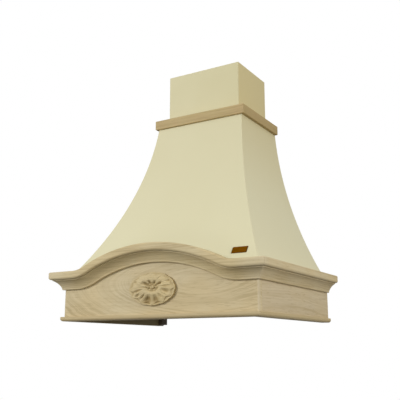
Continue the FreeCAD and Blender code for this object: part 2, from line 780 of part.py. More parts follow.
def lobe(name, centre_x, centre_z, along, girth, height, turn):
    """Half-sunk egg on the face of the front board, its long way at an angle from +X."""
    egg = doc.addObject("Part::Ellipsoid", name)
    egg.setExpression("Radius1", girth.text)
    egg.setExpression("Radius2", along.text)
    egg.setExpression("Radius3", height.text)
    egg.Placement = FreeCAD.Placement(
        FreeCAD.Vector(), FreeCAD.Rotation(FreeCAD.Vector(0, 1, 0), -math.degrees(turn)))
    place(egg, centre_x, front_face, centre_z)
    return egg


def ring(name, count, reach, length, girth, height):
    """Lobes spread evenly round the oval, each pointing away from its middle."""
    lobes = []
    for i in range(count):
        angle = 2 * math.pi * (i + 0.5) / count
        wide = T.rosette_width / 2 * math.cos(angle)
        tall = T.rosette_height / 2 * math.sin(angle)
        span = root(wide * wide + tall * tall)
        lobes.append(lobe("%s%d" % (name, i), wide * reach, T.rosette_level + tall * reach,
                          span * length, T.rosette_height * girth, as_size(height),
                          math.atan2(tall.value, wide.value)))
    return lobes


cushion = lobe("RosetteCushion", as_size(0), T.rosette_level, T.rosette_width / 2 - 3,
               T.rosette_height / 2 - 3, as_size(7), 0)
button = lobe("RosetteButton", as_size(0), T.rosette_level, T.rosette_height * 0.1,
              T.rosette_height * 0.09, as_size(12), 0)
eggs = [cushion, button]
eggs += ring("Leaf", LOBES, 0.74, 0.26, 0.095, 7.5)
eggs += ring("Petal", PETALS, 0.27, 0.17, 0.075, 10)
rosette = doc.addObject("Part::Common", "Rosette")
rosette.Base = group("RosetteEggs", eggs)
rosette.Tool = box("RosetteFront", (-T.rosette_width, T.rosette_width), (front_face - 40, front_face),
                   (0, 2 * T.rosette_level))
finish(rosette, "rosette")

lean = (front_flare.centre_level - T.badge_level) / T.front_radius      # sine of the skin's slope
stand = root(1 - lean * lean)


def on_skin(along, out):
    """A point by the badge's middle: a distance up the slope, and a distance out from the skin."""
    return (front_y(T.badge_level) + lean * along - stand * out,
            T.badge_level + stand * along + lean * out)


badge_half = T.badge_height / 2
badge_low, badge_high = SEAM, SEAM + 1.5
finish(slab("badge_plate", X, T.badge_x - T.badge_width / 2, T.badge_x + T.badge_width / 2,
            [on_skin(-badge_half, badge_low), on_skin(badge_half, badge_low),
             on_skin(badge_half, badge_high), on_skin(-badge_half, badge_high)]), "badge_plate")

# ------------------------------------------------------------------ screws

for label, members in (
        ("corner_block_screws", block_front_screws + side_screws["block"]),
        ("insert_rail_screws", side_screws["insert"]),
        ("batten_screws", side_screws["batten"]),
        ("rear_rail_dowels", side_screws["dowel"]),
        ("ledger_screws", ledger_screws),
        ("body_flange_screws", flange_front_screws + side_screws["flange"]),
        ("hanging_rail_screws", rear_screws),
        ("hanger_plate_screws", plate_screws),
        ("collar_screws", collar_screws),
        ("chimney_bracket_screws", bracket_bolts)):
    finish(group("".join(word.title() for word in label.split("_")), members), label)

# ------------------------------------------------------------------ check and write

doc.recompute()
for thing in doc.Objects:
    if "Invalid" in thing.State or "Error" in thing.State:
        raise RuntimeError("%s failed: %s" % (thing.Label, thing.State))
for thing in parts:
    if thing.Shape.isNull() or not thing.Shape.isValid():
        raise RuntimeError("%s has no valid shape" % thing.Label)

os.makedirs("parts", exist_ok=True)
for thing in parts:
    thing.Shape.exportStep("parts/%s.step" % thing.Label)
    extent = thing.Shape.BoundBox
    print("%-24s %2d solid(s) %9.1f cm3  x %7.1f %7.1f  y %7.1f %7.1f  z %6.1f %6.1f" % (
        thing.Label, len(thing.Shape.Solids), thing.Shape.Volume / 1000,
        extent.XMin, extent.XMax, extent.YMin, extent.YMax, extent.ZMin, extent.ZMax))
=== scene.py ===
"""Looks of a decorative cover for a kitchen extractor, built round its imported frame.

The wooden base, the cornice, the painted sheets, the collar and the chimney are surfaces worked
out on grids of two parameters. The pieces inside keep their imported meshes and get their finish.
Lengths are in metres, in the frame's axes: +X to the right, +Y into the wall, +Z up.
"""

import logging
import math
from abc import ABC, abstractmethod
from collections.abc import Callable
from dataclasses import dataclass
from enum import Enum

import bpy
import numpy as np
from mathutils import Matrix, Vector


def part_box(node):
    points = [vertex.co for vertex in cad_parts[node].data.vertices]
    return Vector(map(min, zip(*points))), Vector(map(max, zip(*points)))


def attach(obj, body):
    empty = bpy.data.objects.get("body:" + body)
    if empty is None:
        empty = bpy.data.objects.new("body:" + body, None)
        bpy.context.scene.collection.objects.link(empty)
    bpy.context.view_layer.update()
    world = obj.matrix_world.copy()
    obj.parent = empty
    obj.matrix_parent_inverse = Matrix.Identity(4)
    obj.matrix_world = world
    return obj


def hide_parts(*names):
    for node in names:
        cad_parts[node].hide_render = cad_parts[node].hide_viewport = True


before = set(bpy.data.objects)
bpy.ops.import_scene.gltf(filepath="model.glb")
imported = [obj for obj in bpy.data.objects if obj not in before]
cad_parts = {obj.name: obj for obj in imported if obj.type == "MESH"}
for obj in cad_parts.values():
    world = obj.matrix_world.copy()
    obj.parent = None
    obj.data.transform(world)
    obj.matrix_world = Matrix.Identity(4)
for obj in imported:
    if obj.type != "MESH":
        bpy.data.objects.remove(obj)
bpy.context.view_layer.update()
log = logging.getLogger("cover")

Socket = bpy.types.NodeSocket
Grid = np.ndarray
Colour = tuple[float, float, float]
Point = tuple[float, float, float]
Span = tuple[float, float]
Paint = dict[str, object]           # values for a shader's sockets, by their names

MM = 0.001
COVER, CHIMNEY = "cover", "chimney"                                 # bodies
WOOD, BARE_WOOD = "oiled_wood", "bare_collar_wood"                  # material slots
CREAM, BADGE = "cream_paint", "brass_badge"
SHARP_FROM = math.radians(32)       # an edge is sharp past this angle
BEVEL_FROM = math.radians(34)       # and is rounded past this one
BEVEL_STEPS = 2
SAME_POINT = 1e-7                   # points nearer than this are one


class Side(Enum):
    """A side of the cover, with the sign of its X."""

    LEFT = -1
    RIGHT = 1

    @property
    def word(self) -> str:
        """The side as it stands in names."""
        return self.name.lower()


# ---------------------------------------------------------------- points and meshes

def surface(x: Grid, y: Grid, z: Grid) -> Grid:
    """Points by row, column and axis, from places along X, Y and Z that broadcast together."""
    return np.stack(np.broadcast_arrays(x, y, z), axis=-1)


def arc_between(start: Span, end: Span, radius: float, side: int, steps: int = 12) -> Grid:
    """Points of the short arc of one radius between two points.

    The centre stands off the middle of the chord by the root of radius squared less half the
    chord squared; the points are the centre plus radius times (cosine, sine) of even angles.

    Args:
        start: First point.
        end: Last point.
        radius: Radius of the arc.
        side: +1 for a centre to the left of the way from start to end, -1 for the right.
        steps: Number of equal steps.

    Returns:
        An array of steps + 1 points.
    """
    p, q = np.array(start), np.array(end)
    chord = q - p
    length = float(np.hypot(*chord))
    left = np.array([-chord[1], chord[0]]) / length
    centre = (p + q) / 2 + side * left * math.sqrt(radius ** 2 - length ** 2 / 4)
    first = math.atan2(*(p - centre)[::-1])
    last = math.atan2(*(q - centre)[::-1])
    turn = (last - first + math.pi) % (2 * math.pi) - math.pi
    angles = first + turn * np.linspace(0, 1, steps + 1)
    return centre + radius * np.stack([np.cos(angles), np.sin(angles)], axis=-1)


def outline(*stretches: Grid | Span) -> Grid:
    """Join points and runs of points into one outline, leaving out repeated points.

    Args:
        stretches: Single points, or arrays with a row for each point.

    Returns:
        The points of the outline, one row each.
    """
    joined = np.concatenate([np.atleast_2d(np.asarray(s, float)) for s in stretches])
    step = np.linalg.norm(joined - np.roll(joined, 1, axis=0), axis=1)
    return joined[step > SAME_POINT]


def rounded_corners(corners: Grid, radii: Grid, steps: int = 5) -> Grid:
    """Round every corner of a closed outline.

    Each corner C becomes a run of points on the quadratic curve from C plus r times the way to
    the corner before, through C, to C plus r times the way to the corner after.

    Args:
        corners: Corners, one row each.
        radii: How far each rounding reaches along its two edges.
        steps: Steps of each rounding.

    Returns:
        The rounded outline.
    """
    back = np.roll(corners, 1, axis=0) - corners
    on = np.roll(corners, -1, axis=0) - corners
    first = corners + back / np.linalg.norm(back, axis=1, keepdims=True) * radii[:, None]
    last = corners + on / np.linalg.norm(on, axis=1, keepdims=True) * radii[:, None]
    t = np.linspace(0, 1, steps + 1)[None, :, None]
    runs = ((1 - t) ** 2 * first[:, None] + 2 * t * (1 - t) * corners[:, None]
            + t ** 2 * last[:, None])
    return outline(runs.reshape(-1, 2))


def bump(value: Grid, low: float, high: float) -> Grid:
    """A smooth hill between two values: the squared sine of the share of the way across."""
    share = np.clip((value - low) / (high - low), 0, 1)
    return np.sin(share * np.pi) ** 2


def smooth_step(value: Grid, low: float, high: float) -> Grid:
    """Rise from 0 to 1 between two values, with level ends: share squared times 3 - 2 share."""
    share = np.clip((value - low) / (high - low), 0, 1)
    return share * share * (3 - 2 * share)


def outward(points: Grid, polygons: list[Grid]) -> list[Grid]:
    """Turn the faces of one closed solid outwards.

    The volume that the faces enclose is the sum, over their triangles, of the first corner dot
    the cross product of the other two; it comes out negative when they are inside out.

    Args:
        points: One row of X, Y, Z for each point.
        polygons: Arrays of corner numbers, one row for each face; faces of one array have the
            same number of corners.

    Returns:
        The same faces, reversed where they were inside out.
    """
    volume = sum(float(np.sum(points[p[:, :1]] * np.cross(points[p[:, 1:-1]], points[p[:, 2:]])))
                 for p in polygons)
    return [p[:, ::-1] for p in polygons] if volume < 0 else polygons


def build_mesh(name: str, points: Grid, polygons: list[Grid]) -> bpy.types.Object:
    """Put points and faces into a new object, smooth but for its sharp edges.

    Args:
        name: Name of the object.
        points: One row of X, Y, Z for each point.
        polygons: Arrays of corner numbers, one row for each face.

    Returns:
        The object, linked to the scene.
    """
    corners = np.concatenate([p.ravel() for p in polygons]).astype(np.int32)
    totals = np.concatenate([np.full(len(p), p.shape[1]) for p in polygons]).astype(np.int32)
    starts = np.concatenate([[0], np.cumsum(totals)[:-1]]).astype(np.int32)
    mesh = bpy.data.meshes.new(name)
    mesh.vertices.add(len(points))
    mesh.vertices.foreach_set("co", points.astype(np.float32).ravel())
    mesh.loops.add(len(corners))
    mesh.loops.foreach_set("vertex_index", corners)
    mesh.polygons.add(len(totals))
    mesh.polygons.foreach_set("loop_start", starts)
    mesh.polygons.foreach_set("use_smooth", np.ones(len(totals), bool))
    mesh.update(calc_edges=True)
    mesh.validate()
    mesh.set_sharp_from_angle(angle=SHARP_FROM)
    made = bpy.data.objects.new(name, mesh)
    bpy.context.scene.collection.objects.link(made)
    return made


def swept_solid(name: str, *grids: Grid) -> bpy.types.Object:
    """Closed solids in one object: each a section carried along a path, closed at both ends.

    Args:
        name: Name of the object.
        grids: For each solid, points by row (along the path), column (round the section) and
            axis.

    Returns:
        The object.
    """
    points, polygons, count = [], [], 0
    for grid in grids:
        rows, columns = grid.shape[:2]
        number = np.arange(rows * columns).reshape(rows, columns)
        after = np.roll(number, -1, axis=1)
        sides = np.stack([number[:-1], after[:-1], after[1:], number[1:]], axis=-1).reshape(-1, 4)
        ends = np.stack([number[0, ::-1], number[-1]])
        flat = grid.reshape(-1, 3)
        polygons += [faces + count for faces in outward(flat, [sides, ends])]
        points.append(flat)
        count += len(flat)
    return build_mesh(name, np.concatenate(points), polygons)


def capped_dome(name: str, centre: Grid, grid: Grid) -> bpy.types.Object:
    """A closed solid: rings round a centre point, with a face across the last ring.

    Args:
        name: Name of the object.
        centre: The point that the first ring closes on.
        grid: Points by ring, place round the ring and axis.

    Returns:
        The object.
    """
    rings, columns = grid.shape[:2]
    number = 1 + np.arange(rings * columns).reshape(rings, columns)
    after = np.roll(number, -1, axis=1)
    pole = np.stack([np.zeros(columns, int), number[0], after[0]], axis=-1)
    sides = np.stack([number[:-1], number[1:], after[1:], after[:-1]], axis=-1).reshape(-1, 4)
    points = np.concatenate([centre[None, :], grid.reshape(-1, 3)])
    return build_mesh(name, points, outward(points, [pole, sides, number[-1][None, ::-1]]))


def mark(piece: bpy.types.Object, name: str, values: Grid) -> None:
    """Store one number for each point of a piece, for its material to read."""
    layer = piece.data.attributes.new(name, "FLOAT", "POINT")
    layer.data.foreach_set("value", np.asarray(values, np.float32).ravel())


def point_array(piece: bpy.types.Object) -> Grid:
    """The points of a piece.

    Args:
        piece: The object.

    Returns:
        One row of X, Y, Z for each point.
    """
    flat = np.zeros(len(piece.data.vertices) * 3, np.float32)
    piece.data.vertices.foreach_get("co", flat)
    return flat.reshape(-1, 3)


def soften(piece: bpy.types.Object, width: float) -> None:
    """Round the sharp edges of a piece.

    Args:
        piece: The object.
        width: Width of the rounding.
    """
    bevel = piece.modifiers.new("softened edges", "BEVEL")
    bevel.width = width
    bevel.segments = BEVEL_STEPS
    bevel.limit_method = "ANGLE"
    bevel.angle_limit = BEVEL_FROM
    bevel.harden_normals = True


def settle(piece: bpy.types.Object, material: bpy.types.Material, body: str, slot: str,
           *nodes: str) -> None:
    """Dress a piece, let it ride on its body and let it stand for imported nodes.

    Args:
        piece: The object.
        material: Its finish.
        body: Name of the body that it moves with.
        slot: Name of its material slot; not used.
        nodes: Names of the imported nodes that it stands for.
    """
    piece.data.materials.append(material)
    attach(piece, body)
    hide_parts(*nodes)
    log.info("%s stands for %s on %s", piece.name, ", ".join(nodes), body)


# ---------------------------------------------------------------- shader graphs

class Graph:
    """Adds nodes to one shader tree and links them, each step giving the socket to go on from."""

    def __init__(self, tree: bpy.types.NodeTree) -> None:
        """Keep the tree to add to."""
        self.tree = tree

    def add(self, kind: str, **settings: object) -> bpy.types.Node:
        """Add a node.

        Args:
            kind: Its kind, without the word that all shader nodes begin with.
            settings: Its settings by name.

        Returns:
            The node.
        """
        node = self.tree.nodes.new("ShaderNode" + kind)
        for key, value in settings.items():
            setattr(node, key, value)
        return node

    def feed(self, socket: Socket, value: object) -> None:
        """Link a socket to another, or set it to a plain value.

        Args:
            socket: The socket that takes the value.
            value: A socket, a number, or the numbers of a colour or vector.
        """
        if isinstance(value, bpy.types.NodeSocket):
            self.tree.links.new(value, socket)
        else:
            socket.default_value = value

    def fed(self, node: bpy.types.Node, *values: object) -> bpy.types.Node:
        """Feed a node's first inputs.

        Args:
            node: The node.
            values: What each input takes, in their order.

        Returns:
            The same node.
        """
        for socket, value in zip(node.inputs, values):
            self.feed(socket, value)
        return node

    def math(self, operation: str, *values: object) -> Socket:
        """One step of arithmetic on numbers or sockets."""
        return self.fed(self.add("Math", operation=operation), *values).outputs[0]

    def plus(self, first: object, second: object) -> Socket:
        """Sum of two numbers."""
        return self.math("ADD", first, second)

    def minus(self, first: object, second: object) -> Socket:
        """First number less the second."""
        return self.math("SUBTRACT", first, second)

    def times(self, first: object, second: object) -> Socket:
        """Product of two numbers."""
        return self.math("MULTIPLY", first, second)

    def vector(self, operation: str, *values: object) -> Socket:
        """One step of vector arithmetic; a length comes out as a number."""
        node = self.fed(self.add("VectorMath", operation=operation), *values)
        return node.outputs["Value" if operation == "LENGTH" else "Vector"]

    def scaled(self, place: Socket, x: float, y: float, z: float) -> Socket:
        """A place scaled by its own number along each axis; below 1 draws a pattern out."""
        return self.vector("MULTIPLY", place, (x, y, z))

    def parts(self, place: Socket) -> list[Socket]:
        """The X, Y and Z of a place."""
        return list(self.fed(self.add("SeparateXYZ"), place).outputs)

    def joined(self, x: Socket, y: Socket, z: Socket) -> Socket:
        """A place from its X, Y and Z."""
        return self.fed(self.add("CombineXYZ"), x, y, z).outputs[0]

    def marked(self, name: str) -> Socket:
        """The number that a piece is marked with under a name, or 0."""
        return self.add("Attribute", attribute_name=name).outputs["Fac"]

    def noise(self, place: Socket, scale: float, detail: float = 2.0, rough: float = 0.5,
              line: bool = False) -> Socket:
        """Layered noise in 0 to 1, its blobs about 1 / scale across.

        Args:
            place: Where to read it: a vector, or a number for noise along a line.
            scale: Blobs for each metre, or for each unit of the number.
            detail: How many finer layers are laid over it.
            rough: How strong each layer is beside the one before.
            line: Whether the place is a number.

        Returns:
            The noise.
        """
        node = self.add("TexNoise", noise_dimensions="1D" if line else "3D")
        self.feed(node.inputs["W" if line else "Vector"], place)
        for label, value in (("Scale", scale), ("Detail", detail), ("Roughness", rough)):
            node.inputs[label].default_value = value
        return node.outputs["Fac"]

    def span(self, value: Socket, low: float, high: float, to_low: float = 0.0,
             to_high: float = 1.0) -> Socket:
        """Map a number from one span to another with smooth ends."""
        node = self.add("MapRange", interpolation_type="SMOOTHSTEP")
        return self.fed(node, value, low, high, to_low, to_high).outputs[0]

    def mix(self, share: object, first: object, second: object) -> Socket:
        """Mix two colours.

        Args:
            share: Share of the second, a number or a socket.
            first: Colour or socket.
            second: Colour or socket.

        Returns:
            The mixed colour.
        """
        node = self.add("Mix", data_type="RGBA")
        for number, value in ((0, share), (6, first), (7, second)):
            self.feed(node.inputs[number], (*value, 1.0) if isinstance(value, tuple) else value)
        return node.outputs[2]

    def bumped(self, height: Socket, distance: float, strength: float = 0.5) -> Socket:
        """The normal of a surface raised by a height.

        Args:
            height: Height in 0 to 1.
            distance: Metres at height 1.
            strength: Share of the effect.

        Returns:
            The normal.
        """
        node = self.add("Bump")
        for label, value in (("Strength", strength), ("Distance", distance), ("Height", height)):
            self.feed(node.inputs[label], value)
        return node.outputs[0]

    def group(self, tree: bpy.types.NodeTree, values: Paint) -> bpy.types.Node:
        """Place a shader group.

        Args:
            tree: The group.
            values: What its inputs take, by their names.

        Returns:
            The group's node.
        """
        node = self.add("Group", node_tree=tree)
        for label, value in values.items():
            self.feed(node.inputs[label], value)
        return node


def shader_group(name: str, inputs: dict[str, str], outputs: dict[str, str]
                 ) -> tuple[Graph, dict[str, Socket], bpy.types.Node]:
    """Start a shader group.

    Args:
        name: Name of the group.
        inputs: Kind of socket for each input.
        outputs: Kind of socket for each output.

    Returns:
        A graph on the group, its input sockets by name, and its output node.
    """
    tree = bpy.data.node_groups.new(name, "ShaderNodeTree")
    for way, sockets in (("INPUT", inputs), ("OUTPUT", outputs)):
        for label, kind in sockets.items():
            tree.interface.new_socket(name=label, in_out=way, socket_type="NodeSocket" + kind)
    entry = tree.nodes.new("NodeGroupInput")
    leave = tree.nodes.new("NodeGroupOutput")
    return Graph(tree), {label: entry.outputs[label] for label in inputs}, leave


@dataclass(frozen=True)
class WoodFigure:
    """Shader group that turns a place in the timber into its figure.

    The place is measured from the heart: along the fibres, across the face and through the
    board. Scales count blobs for each metre, or for each ring spacing.
    """

    soft_turn: float = 0.04         # rings start to close in over this length
    slow_drawn: float = 0.24        # scale of the bending noise along the fibres
    slow_scale: float = 12.0
    quick_scale: float = 85.0
    quick_share: float = 0.16       # of the quick bends beside the slow ones
    line_scale: float = 1.15
    line_width: float = 0.075       # of the noise about its middle
    line_share: float = 0.74
    band_scale: float = 0.33
    band_start: float = 40.0        # reads the band noise far from the line noise
    band_span: Span = (0.40, 0.62)
    band_share: float = 0.26
    patch_scale: float = 20.0       # patches in which the lines fade
    patch_span: Span = (0.36, 0.60)
    patch_least: float = 0.25
    calm_start: float = 0.3         # share of Calm within which there is no ring
    coarse_scale: float = 190.0
    coarse_drawn: float = 0.05
    fine_scale: float = 700.0
    fine_drawn: float = 0.02
    fleck_scale: float = 360.0
    fleck_drawn: float = 0.09
    fleck_span: Span = (0.585, 0.70)
    fibre_height: float = 0.6
    ring_height: float = 0.4
    fleck_depth: float = 0.35

    def build(self) -> bpy.types.NodeTree:
        """Build the group.

        Between Start and End the rings run level with the fibres; past them they close in,
        slowly where the stretch is large. A ring's place is its distance from that line, bent
        by slow noise. Noise of this one number gives thin dark lines where it crosses its
        middle, and broad bands besides; both fade out within Calm of the heart. Fibres and
        flecks are fine noise drawn out along the fibres.

        Returns:
            The group, with outputs Ring, Fibre, Fleck and Height, all from 0 to 1.
        """
        sizes = ("Start", "End", "Low Stretch", "High Stretch", "Spacing", "Bend", "Calm")
        g, put, out = shader_group("wood figure",
                                   {"Place": "Vector", **dict.fromkeys(sizes, "Float")},
                                   dict.fromkeys(("Ring", "Fibre", "Fleck", "Height"), "Float"))
        place = put["Place"]
        along, across, through = g.parts(place)
        before = g.math("SMOOTH_MAX", g.minus(put["Start"], along), 0.0, self.soft_turn)
        beyond = g.math("SMOOTH_MAX", g.minus(along, put["End"]), 0.0, self.soft_turn)
        close = g.joined(g.plus(g.math("DIVIDE", before, put["Low Stretch"]),
                                g.math("DIVIDE", beyond, put["High Stretch"])), across, through)
        drawn = g.scaled(place, self.slow_drawn, 1.0, 1.0)
        slow = g.noise(drawn, self.slow_scale, 2.0)
        quick = g.noise(drawn, self.quick_scale, 3.0)
        waver = g.plus(g.minus(slow, 0.5), g.times(g.minus(quick, 0.5), self.quick_share))
        reach = g.plus(g.vector("LENGTH", close), g.times(waver, put["Bend"]))
        count = g.math("DIVIDE", reach, put["Spacing"])
        lines = g.noise(count, self.line_scale, 1.5, line=True)
        thin = g.span(g.math("ABSOLUTE", g.minus(lines, 0.5)), 0.0, self.line_width, 1.0, 0.0)
        bands = g.noise(g.plus(count, self.band_start), self.band_scale, 1.0, line=True)
        patch = g.span(g.noise(drawn, self.patch_scale, 2.0), *self.patch_span, self.patch_least)
        ring = g.plus(g.times(g.times(thin, patch), self.line_share),
                      g.times(g.span(bands, *self.band_span), self.band_share))
        calm = put["Calm"]
        ring = g.times(ring, g.span(reach, g.times(calm, self.calm_start), calm))
        coarse = g.noise(g.scaled(place, self.coarse_drawn, 1.0, 1.0), self.coarse_scale, 2.0)
        fine = g.noise(g.scaled(place, self.fine_drawn, 1.0, 1.0), self.fine_scale, 3.0, 0.6)
        fibre = g.plus(g.times(coarse, 0.5), g.times(fine, 0.5))
        short = g.noise(g.scaled(place, self.fleck_drawn, 1.0, 1.0), self.fleck_scale, 2.0)
        fleck = g.span(short, *self.fleck_span)
        height = g.plus(g.times(fibre, self.fibre_height), g.times(ring, self.ring_height))
        height = g.minus(height, g.times(fleck, self.fleck_depth))
        g.fed(out, ring, fibre, fleck, height)
        return g.tree


def lightened_edges() -> bpy.types.NodeTree:
    """Group that lightens a colour where a piece is marked "lightened", broken up by noise.

    Returns:
        The group, with output Colour.
    """
    g, put, out = shader_group(
        "worn edges", {"Place": "Vector", "Mask": "Float", "Colour": "Color", "Lightened": "Color"},
        {"Colour": "Color"})
    patch = g.span(g.noise(put["Place"], 160.0, 3.0), 0.30, 0.62, 0.62, 1.0)
    g.fed(out, g.mix(g.times(put["Mask"], patch), put["Colour"], put["Lightened"]))
    return g.tree


class Groups:
    """The shader groups, each built once."""

    figure = WoodFigure().build()
    lightening = lightened_edges()


# ---------------------------------------------------------------- finishes

@dataclass(frozen=True)
class Finish(ABC):
    """A finish: a named material, with what it gives to its shader."""

    name: str

    @abstractmethod
    def paint(self, g: Graph, place: Socket) -> Paint:
        """What the shader's sockets take, by their names."""

    def material(self) -> bpy.types.Material:
        """Build the material.

        Returns:
            The material, its Principled shader fed with the paint.
        """
        material = bpy.data.materials.new(self.name)
        material.use_nodes = True
        g = Graph(material.node_tree)
        shader = material.node_tree.nodes["Principled BSDF"]
        for label, value in self.paint(g, g.add("TexCoord").outputs["Object"]).items():
            g.feed(shader.inputs[label], value)
        return material


class Fibres(Enum):
    """Which way the fibres of a wooden piece run: its axes along, across and through."""

    ALONG_X = (0, 1, 2)
    ALONG_Y = (1, 0, 2)
    ALONG_Z = (2, 0, 1)


@dataclass(frozen=True)
class Timber(Finish):
    """Sanded pale hardwood, with its figure placed for one piece."""

    fibres: Fibres = Fibres.ALONG_X
    heart: Point = (0.0, 0.0, 0.0)
    level_run: Span = (0.0, 0.0)    # rings run level here, from the heart
    stretch: Span = (9.0, 9.0)      # how slowly they close in at either end
    spacing: float = 7.0 * MM
    bend: float = 26 * MM
    calm: float = 1 * MM            # rings fade out this near to the heart
    pin: float = 0.0                # strength of a dark pin mark at the heart
    pin_scale: Span = (280.0, 700.0)    # one over its size, along and across
    pale: Colour = (0.655, 0.552, 0.342)
    dark: Colour = (0.415, 0.318, 0.155)
    warm: Colour = (0.650, 0.522, 0.292)
    fleck: Colour = (0.330, 0.240, 0.110)
    # paler colour where marked "lightened": end grain and a painted highlight on the front
    # corners, and mitre lines
    lightened: Colour = (0.650, 0.560, 0.380)
    painted_shade: Colour = (0.300, 0.215, 0.090)    # painted shade, laid where a piece is marked "hollow"
    shade_share: float = 0.0            # and how much of it
    warmed: float = 0.8             # how strongly the slow drift of colour shows
    figure: float = 0.62            # and the rings
    streaks: float = 0.24           # and the fibres
    flecks: float = 0.27            # and the flecks
    grain: float = 0.12 * MM        # depth of the grain
    rough: Span = (0.55, 0.70)

    def paint(self, g: Graph, place: Socket) -> Paint:
        """Rings, fibres and flecks over a slow drift of colour, then painted shade and lightened
        edges.

        Args:
            g: Graph to add to.
            place: Object coordinates.

        Returns:
            Values by socket; they read the marks "hollow" (painted shade) and "lightened".
        """
        axes = g.parts(g.vector("SUBTRACT", place, self.heart))
        turned = g.joined(*(axes[axis] for axis in self.fibres.value))
        figure = g.group(Groups.figure, {
            "Place": turned, "Start": self.level_run[0], "End": self.level_run[1],
            "Low Stretch": self.stretch[0], "High Stretch": self.stretch[1],
            "Spacing": self.spacing, "Bend": self.bend, "Calm": self.calm}).outputs
        drift = g.span(g.noise(turned, 7.0, 2.0), 0.38, 0.64, 0.0, self.warmed)
        colour = g.mix(drift, self.pale, self.warm)
        colour = g.mix(g.times(figure["Ring"], self.figure), colour, self.dark)
        colour = g.mix(g.span(figure["Fibre"], 0.36, 0.66, 0.0, self.streaks), colour, self.dark)
        colour = g.mix(g.times(figure["Fleck"], self.flecks), colour, self.fleck)
        if self.pin:
            off = g.vector("LENGTH", g.scaled(turned, *self.pin_scale, 0.0))
            colour = g.mix(g.span(off, 0.4, 1.2, self.pin, 0.0), colour, self.fleck)
        # Painted shade: darker where the piece is marked "hollow".
        colour = g.mix(g.times(g.marked("hollow"), self.shade_share), colour, self.painted_shade)
        lightening = g.group(Groups.lightening, {"Place": place, "Mask": g.marked("lightened"),
                                     "Colour": colour, "Lightened": (*self.lightened, 1.0)})
        return {"Base Color": lightening.outputs[0],
                "Roughness": g.span(figure["Fibre"], 0.2, 0.8, *self.rough),
                "Normal": g.bumped(figure["Height"], self.grain, 0.6),
                "Specular IOR Level": 0.35}


@dataclass(frozen=True)
class PowderCoat(Finish):
    """Baked cream coating on sheet steel: even colour, satin, with a faint orange peel."""

    name: str = "cream powder coat"
    colour: Colour = (0.703, 0.664, 0.442)
    shade: Colour = (0.683, 0.640, 0.415)
    aged: Colour = (0.640, 0.560, 0.315)    # painted warm reflected light, on the sides and upper parts
    drifts: float = 0.35            # how strongly the slow drift of colour shows
    grit: float = 0.16              # and the fine specks
    peel: float = 0.035 * MM        # depth of the orange peel
    rough: Span = (0.50, 0.55)

    def paint(self, g: Graph, place: Socket) -> Paint:
        """Slow drift, fine specks, painted warm light where marked, and peel in the normal.

        Args:
            g: Graph to add to.
            place: Object coordinates.

        Returns:
            Values by socket; they read the mark "warm_light", painted warm reflected light.
        """
        drift = g.span(g.noise(place, 4.5, 2.0), 0.36, 0.66)
        grit = g.span(g.noise(place, 1500.0, 1.0), 0.60, 0.74, 0.0, self.grit)
        colour = g.mix(g.times(drift, self.drifts), self.colour, self.shade)
        colour = g.mix(grit, colour, self.shade)
        return {"Base Color": g.mix(g.marked("warm_light"), colour, self.aged),
                "Roughness": g.span(g.noise(place, 17.0, 4.0, 0.6), 0.3, 0.7, *self.rough),
                "Normal": g.bumped(g.noise(place, 620.0, 2.0), self.peel),
                "Specular IOR Level": 0.3}


@dataclass(frozen=True)
class ZincPlate(Finish):
    """Zinc-plated steel: grey, with soft crystals and rolling marks."""

    name: str = "zinc plate"
    light: Colour = (0.560, 0.565, 0.560)
    dull: Colour = (0.400, 0.405, 0.410)
    crystals: float = 190.0         # for each metre
    metal: float = 0.9

    def paint(self, g: Graph, place: Socket) -> Paint:
        """Crystals from a cell pattern, and fine lines drawn out along X.

        Args:
            g: Graph to add to.
            place: Object coordinates.

        Returns:
            Values by socket.
        """
        cells = g.add("TexVoronoi", feature="F1")
        g.feed(cells.inputs["Vector"], place)
        g.feed(cells.inputs["Scale"], self.crystals)
        lines = g.noise(g.scaled(place, 0.04, 1.0, 1.0), 900.0, 2.0)
        share = g.plus(g.times(cells.outputs["Distance"], 0.8), g.times(lines, 0.4))
        return {"Base Color": g.mix(g.span(share, 0.2, 0.9), self.light, self.dull),
                "Roughness": g.span(lines, 0.2, 0.8, 0.30, 0.46),
                "Normal": g.bumped(lines, 0.03 * MM),
                "Metallic": self.metal}


@dataclass(frozen=True)
class AgedBrass(Finish):
    """Lacquered golden-brown metal, brushed along X and darker at its rim."""

    name: str = "aged brass"
    gold: Colour = (0.270, 0.100, 0.004)
    brown: Colour = (0.190, 0.070, 0.003)
    rim: Colour = (0.060, 0.026, 0.004)
    lacquer: Colour = (1.0, 0.8, 0.3)       # tint of its highlights

    def paint(self, g: Graph, place: Socket) -> Paint:
        """Brushed lines and clouds of brown over gold, and the dark rim.

        Args:
            g: Graph to add to.
            place: Object coordinates.

        Returns:
            Values by socket; they read the mark "rim".
        """
        lines = g.noise(g.scaled(place, 0.03, 1.0, 1.0), 1400.0, 2.0)
        cloud = g.noise(place, 130.0, 3.0)
        share = g.span(g.plus(g.times(lines, 0.5), g.times(cloud, 0.5)), 0.35, 0.65)
        colour = g.mix(share, self.gold, self.brown)
        return {"Base Color": g.mix(g.marked("rim"), colour, self.rim),
                "Roughness": g.span(lines, 0.2, 0.8, 0.42, 0.58),
                "Normal": g.bumped(lines, 0.02 * MM),
                "Metallic": 1.0,
                "Specular Tint": (*self.lacquer, 1.0)}


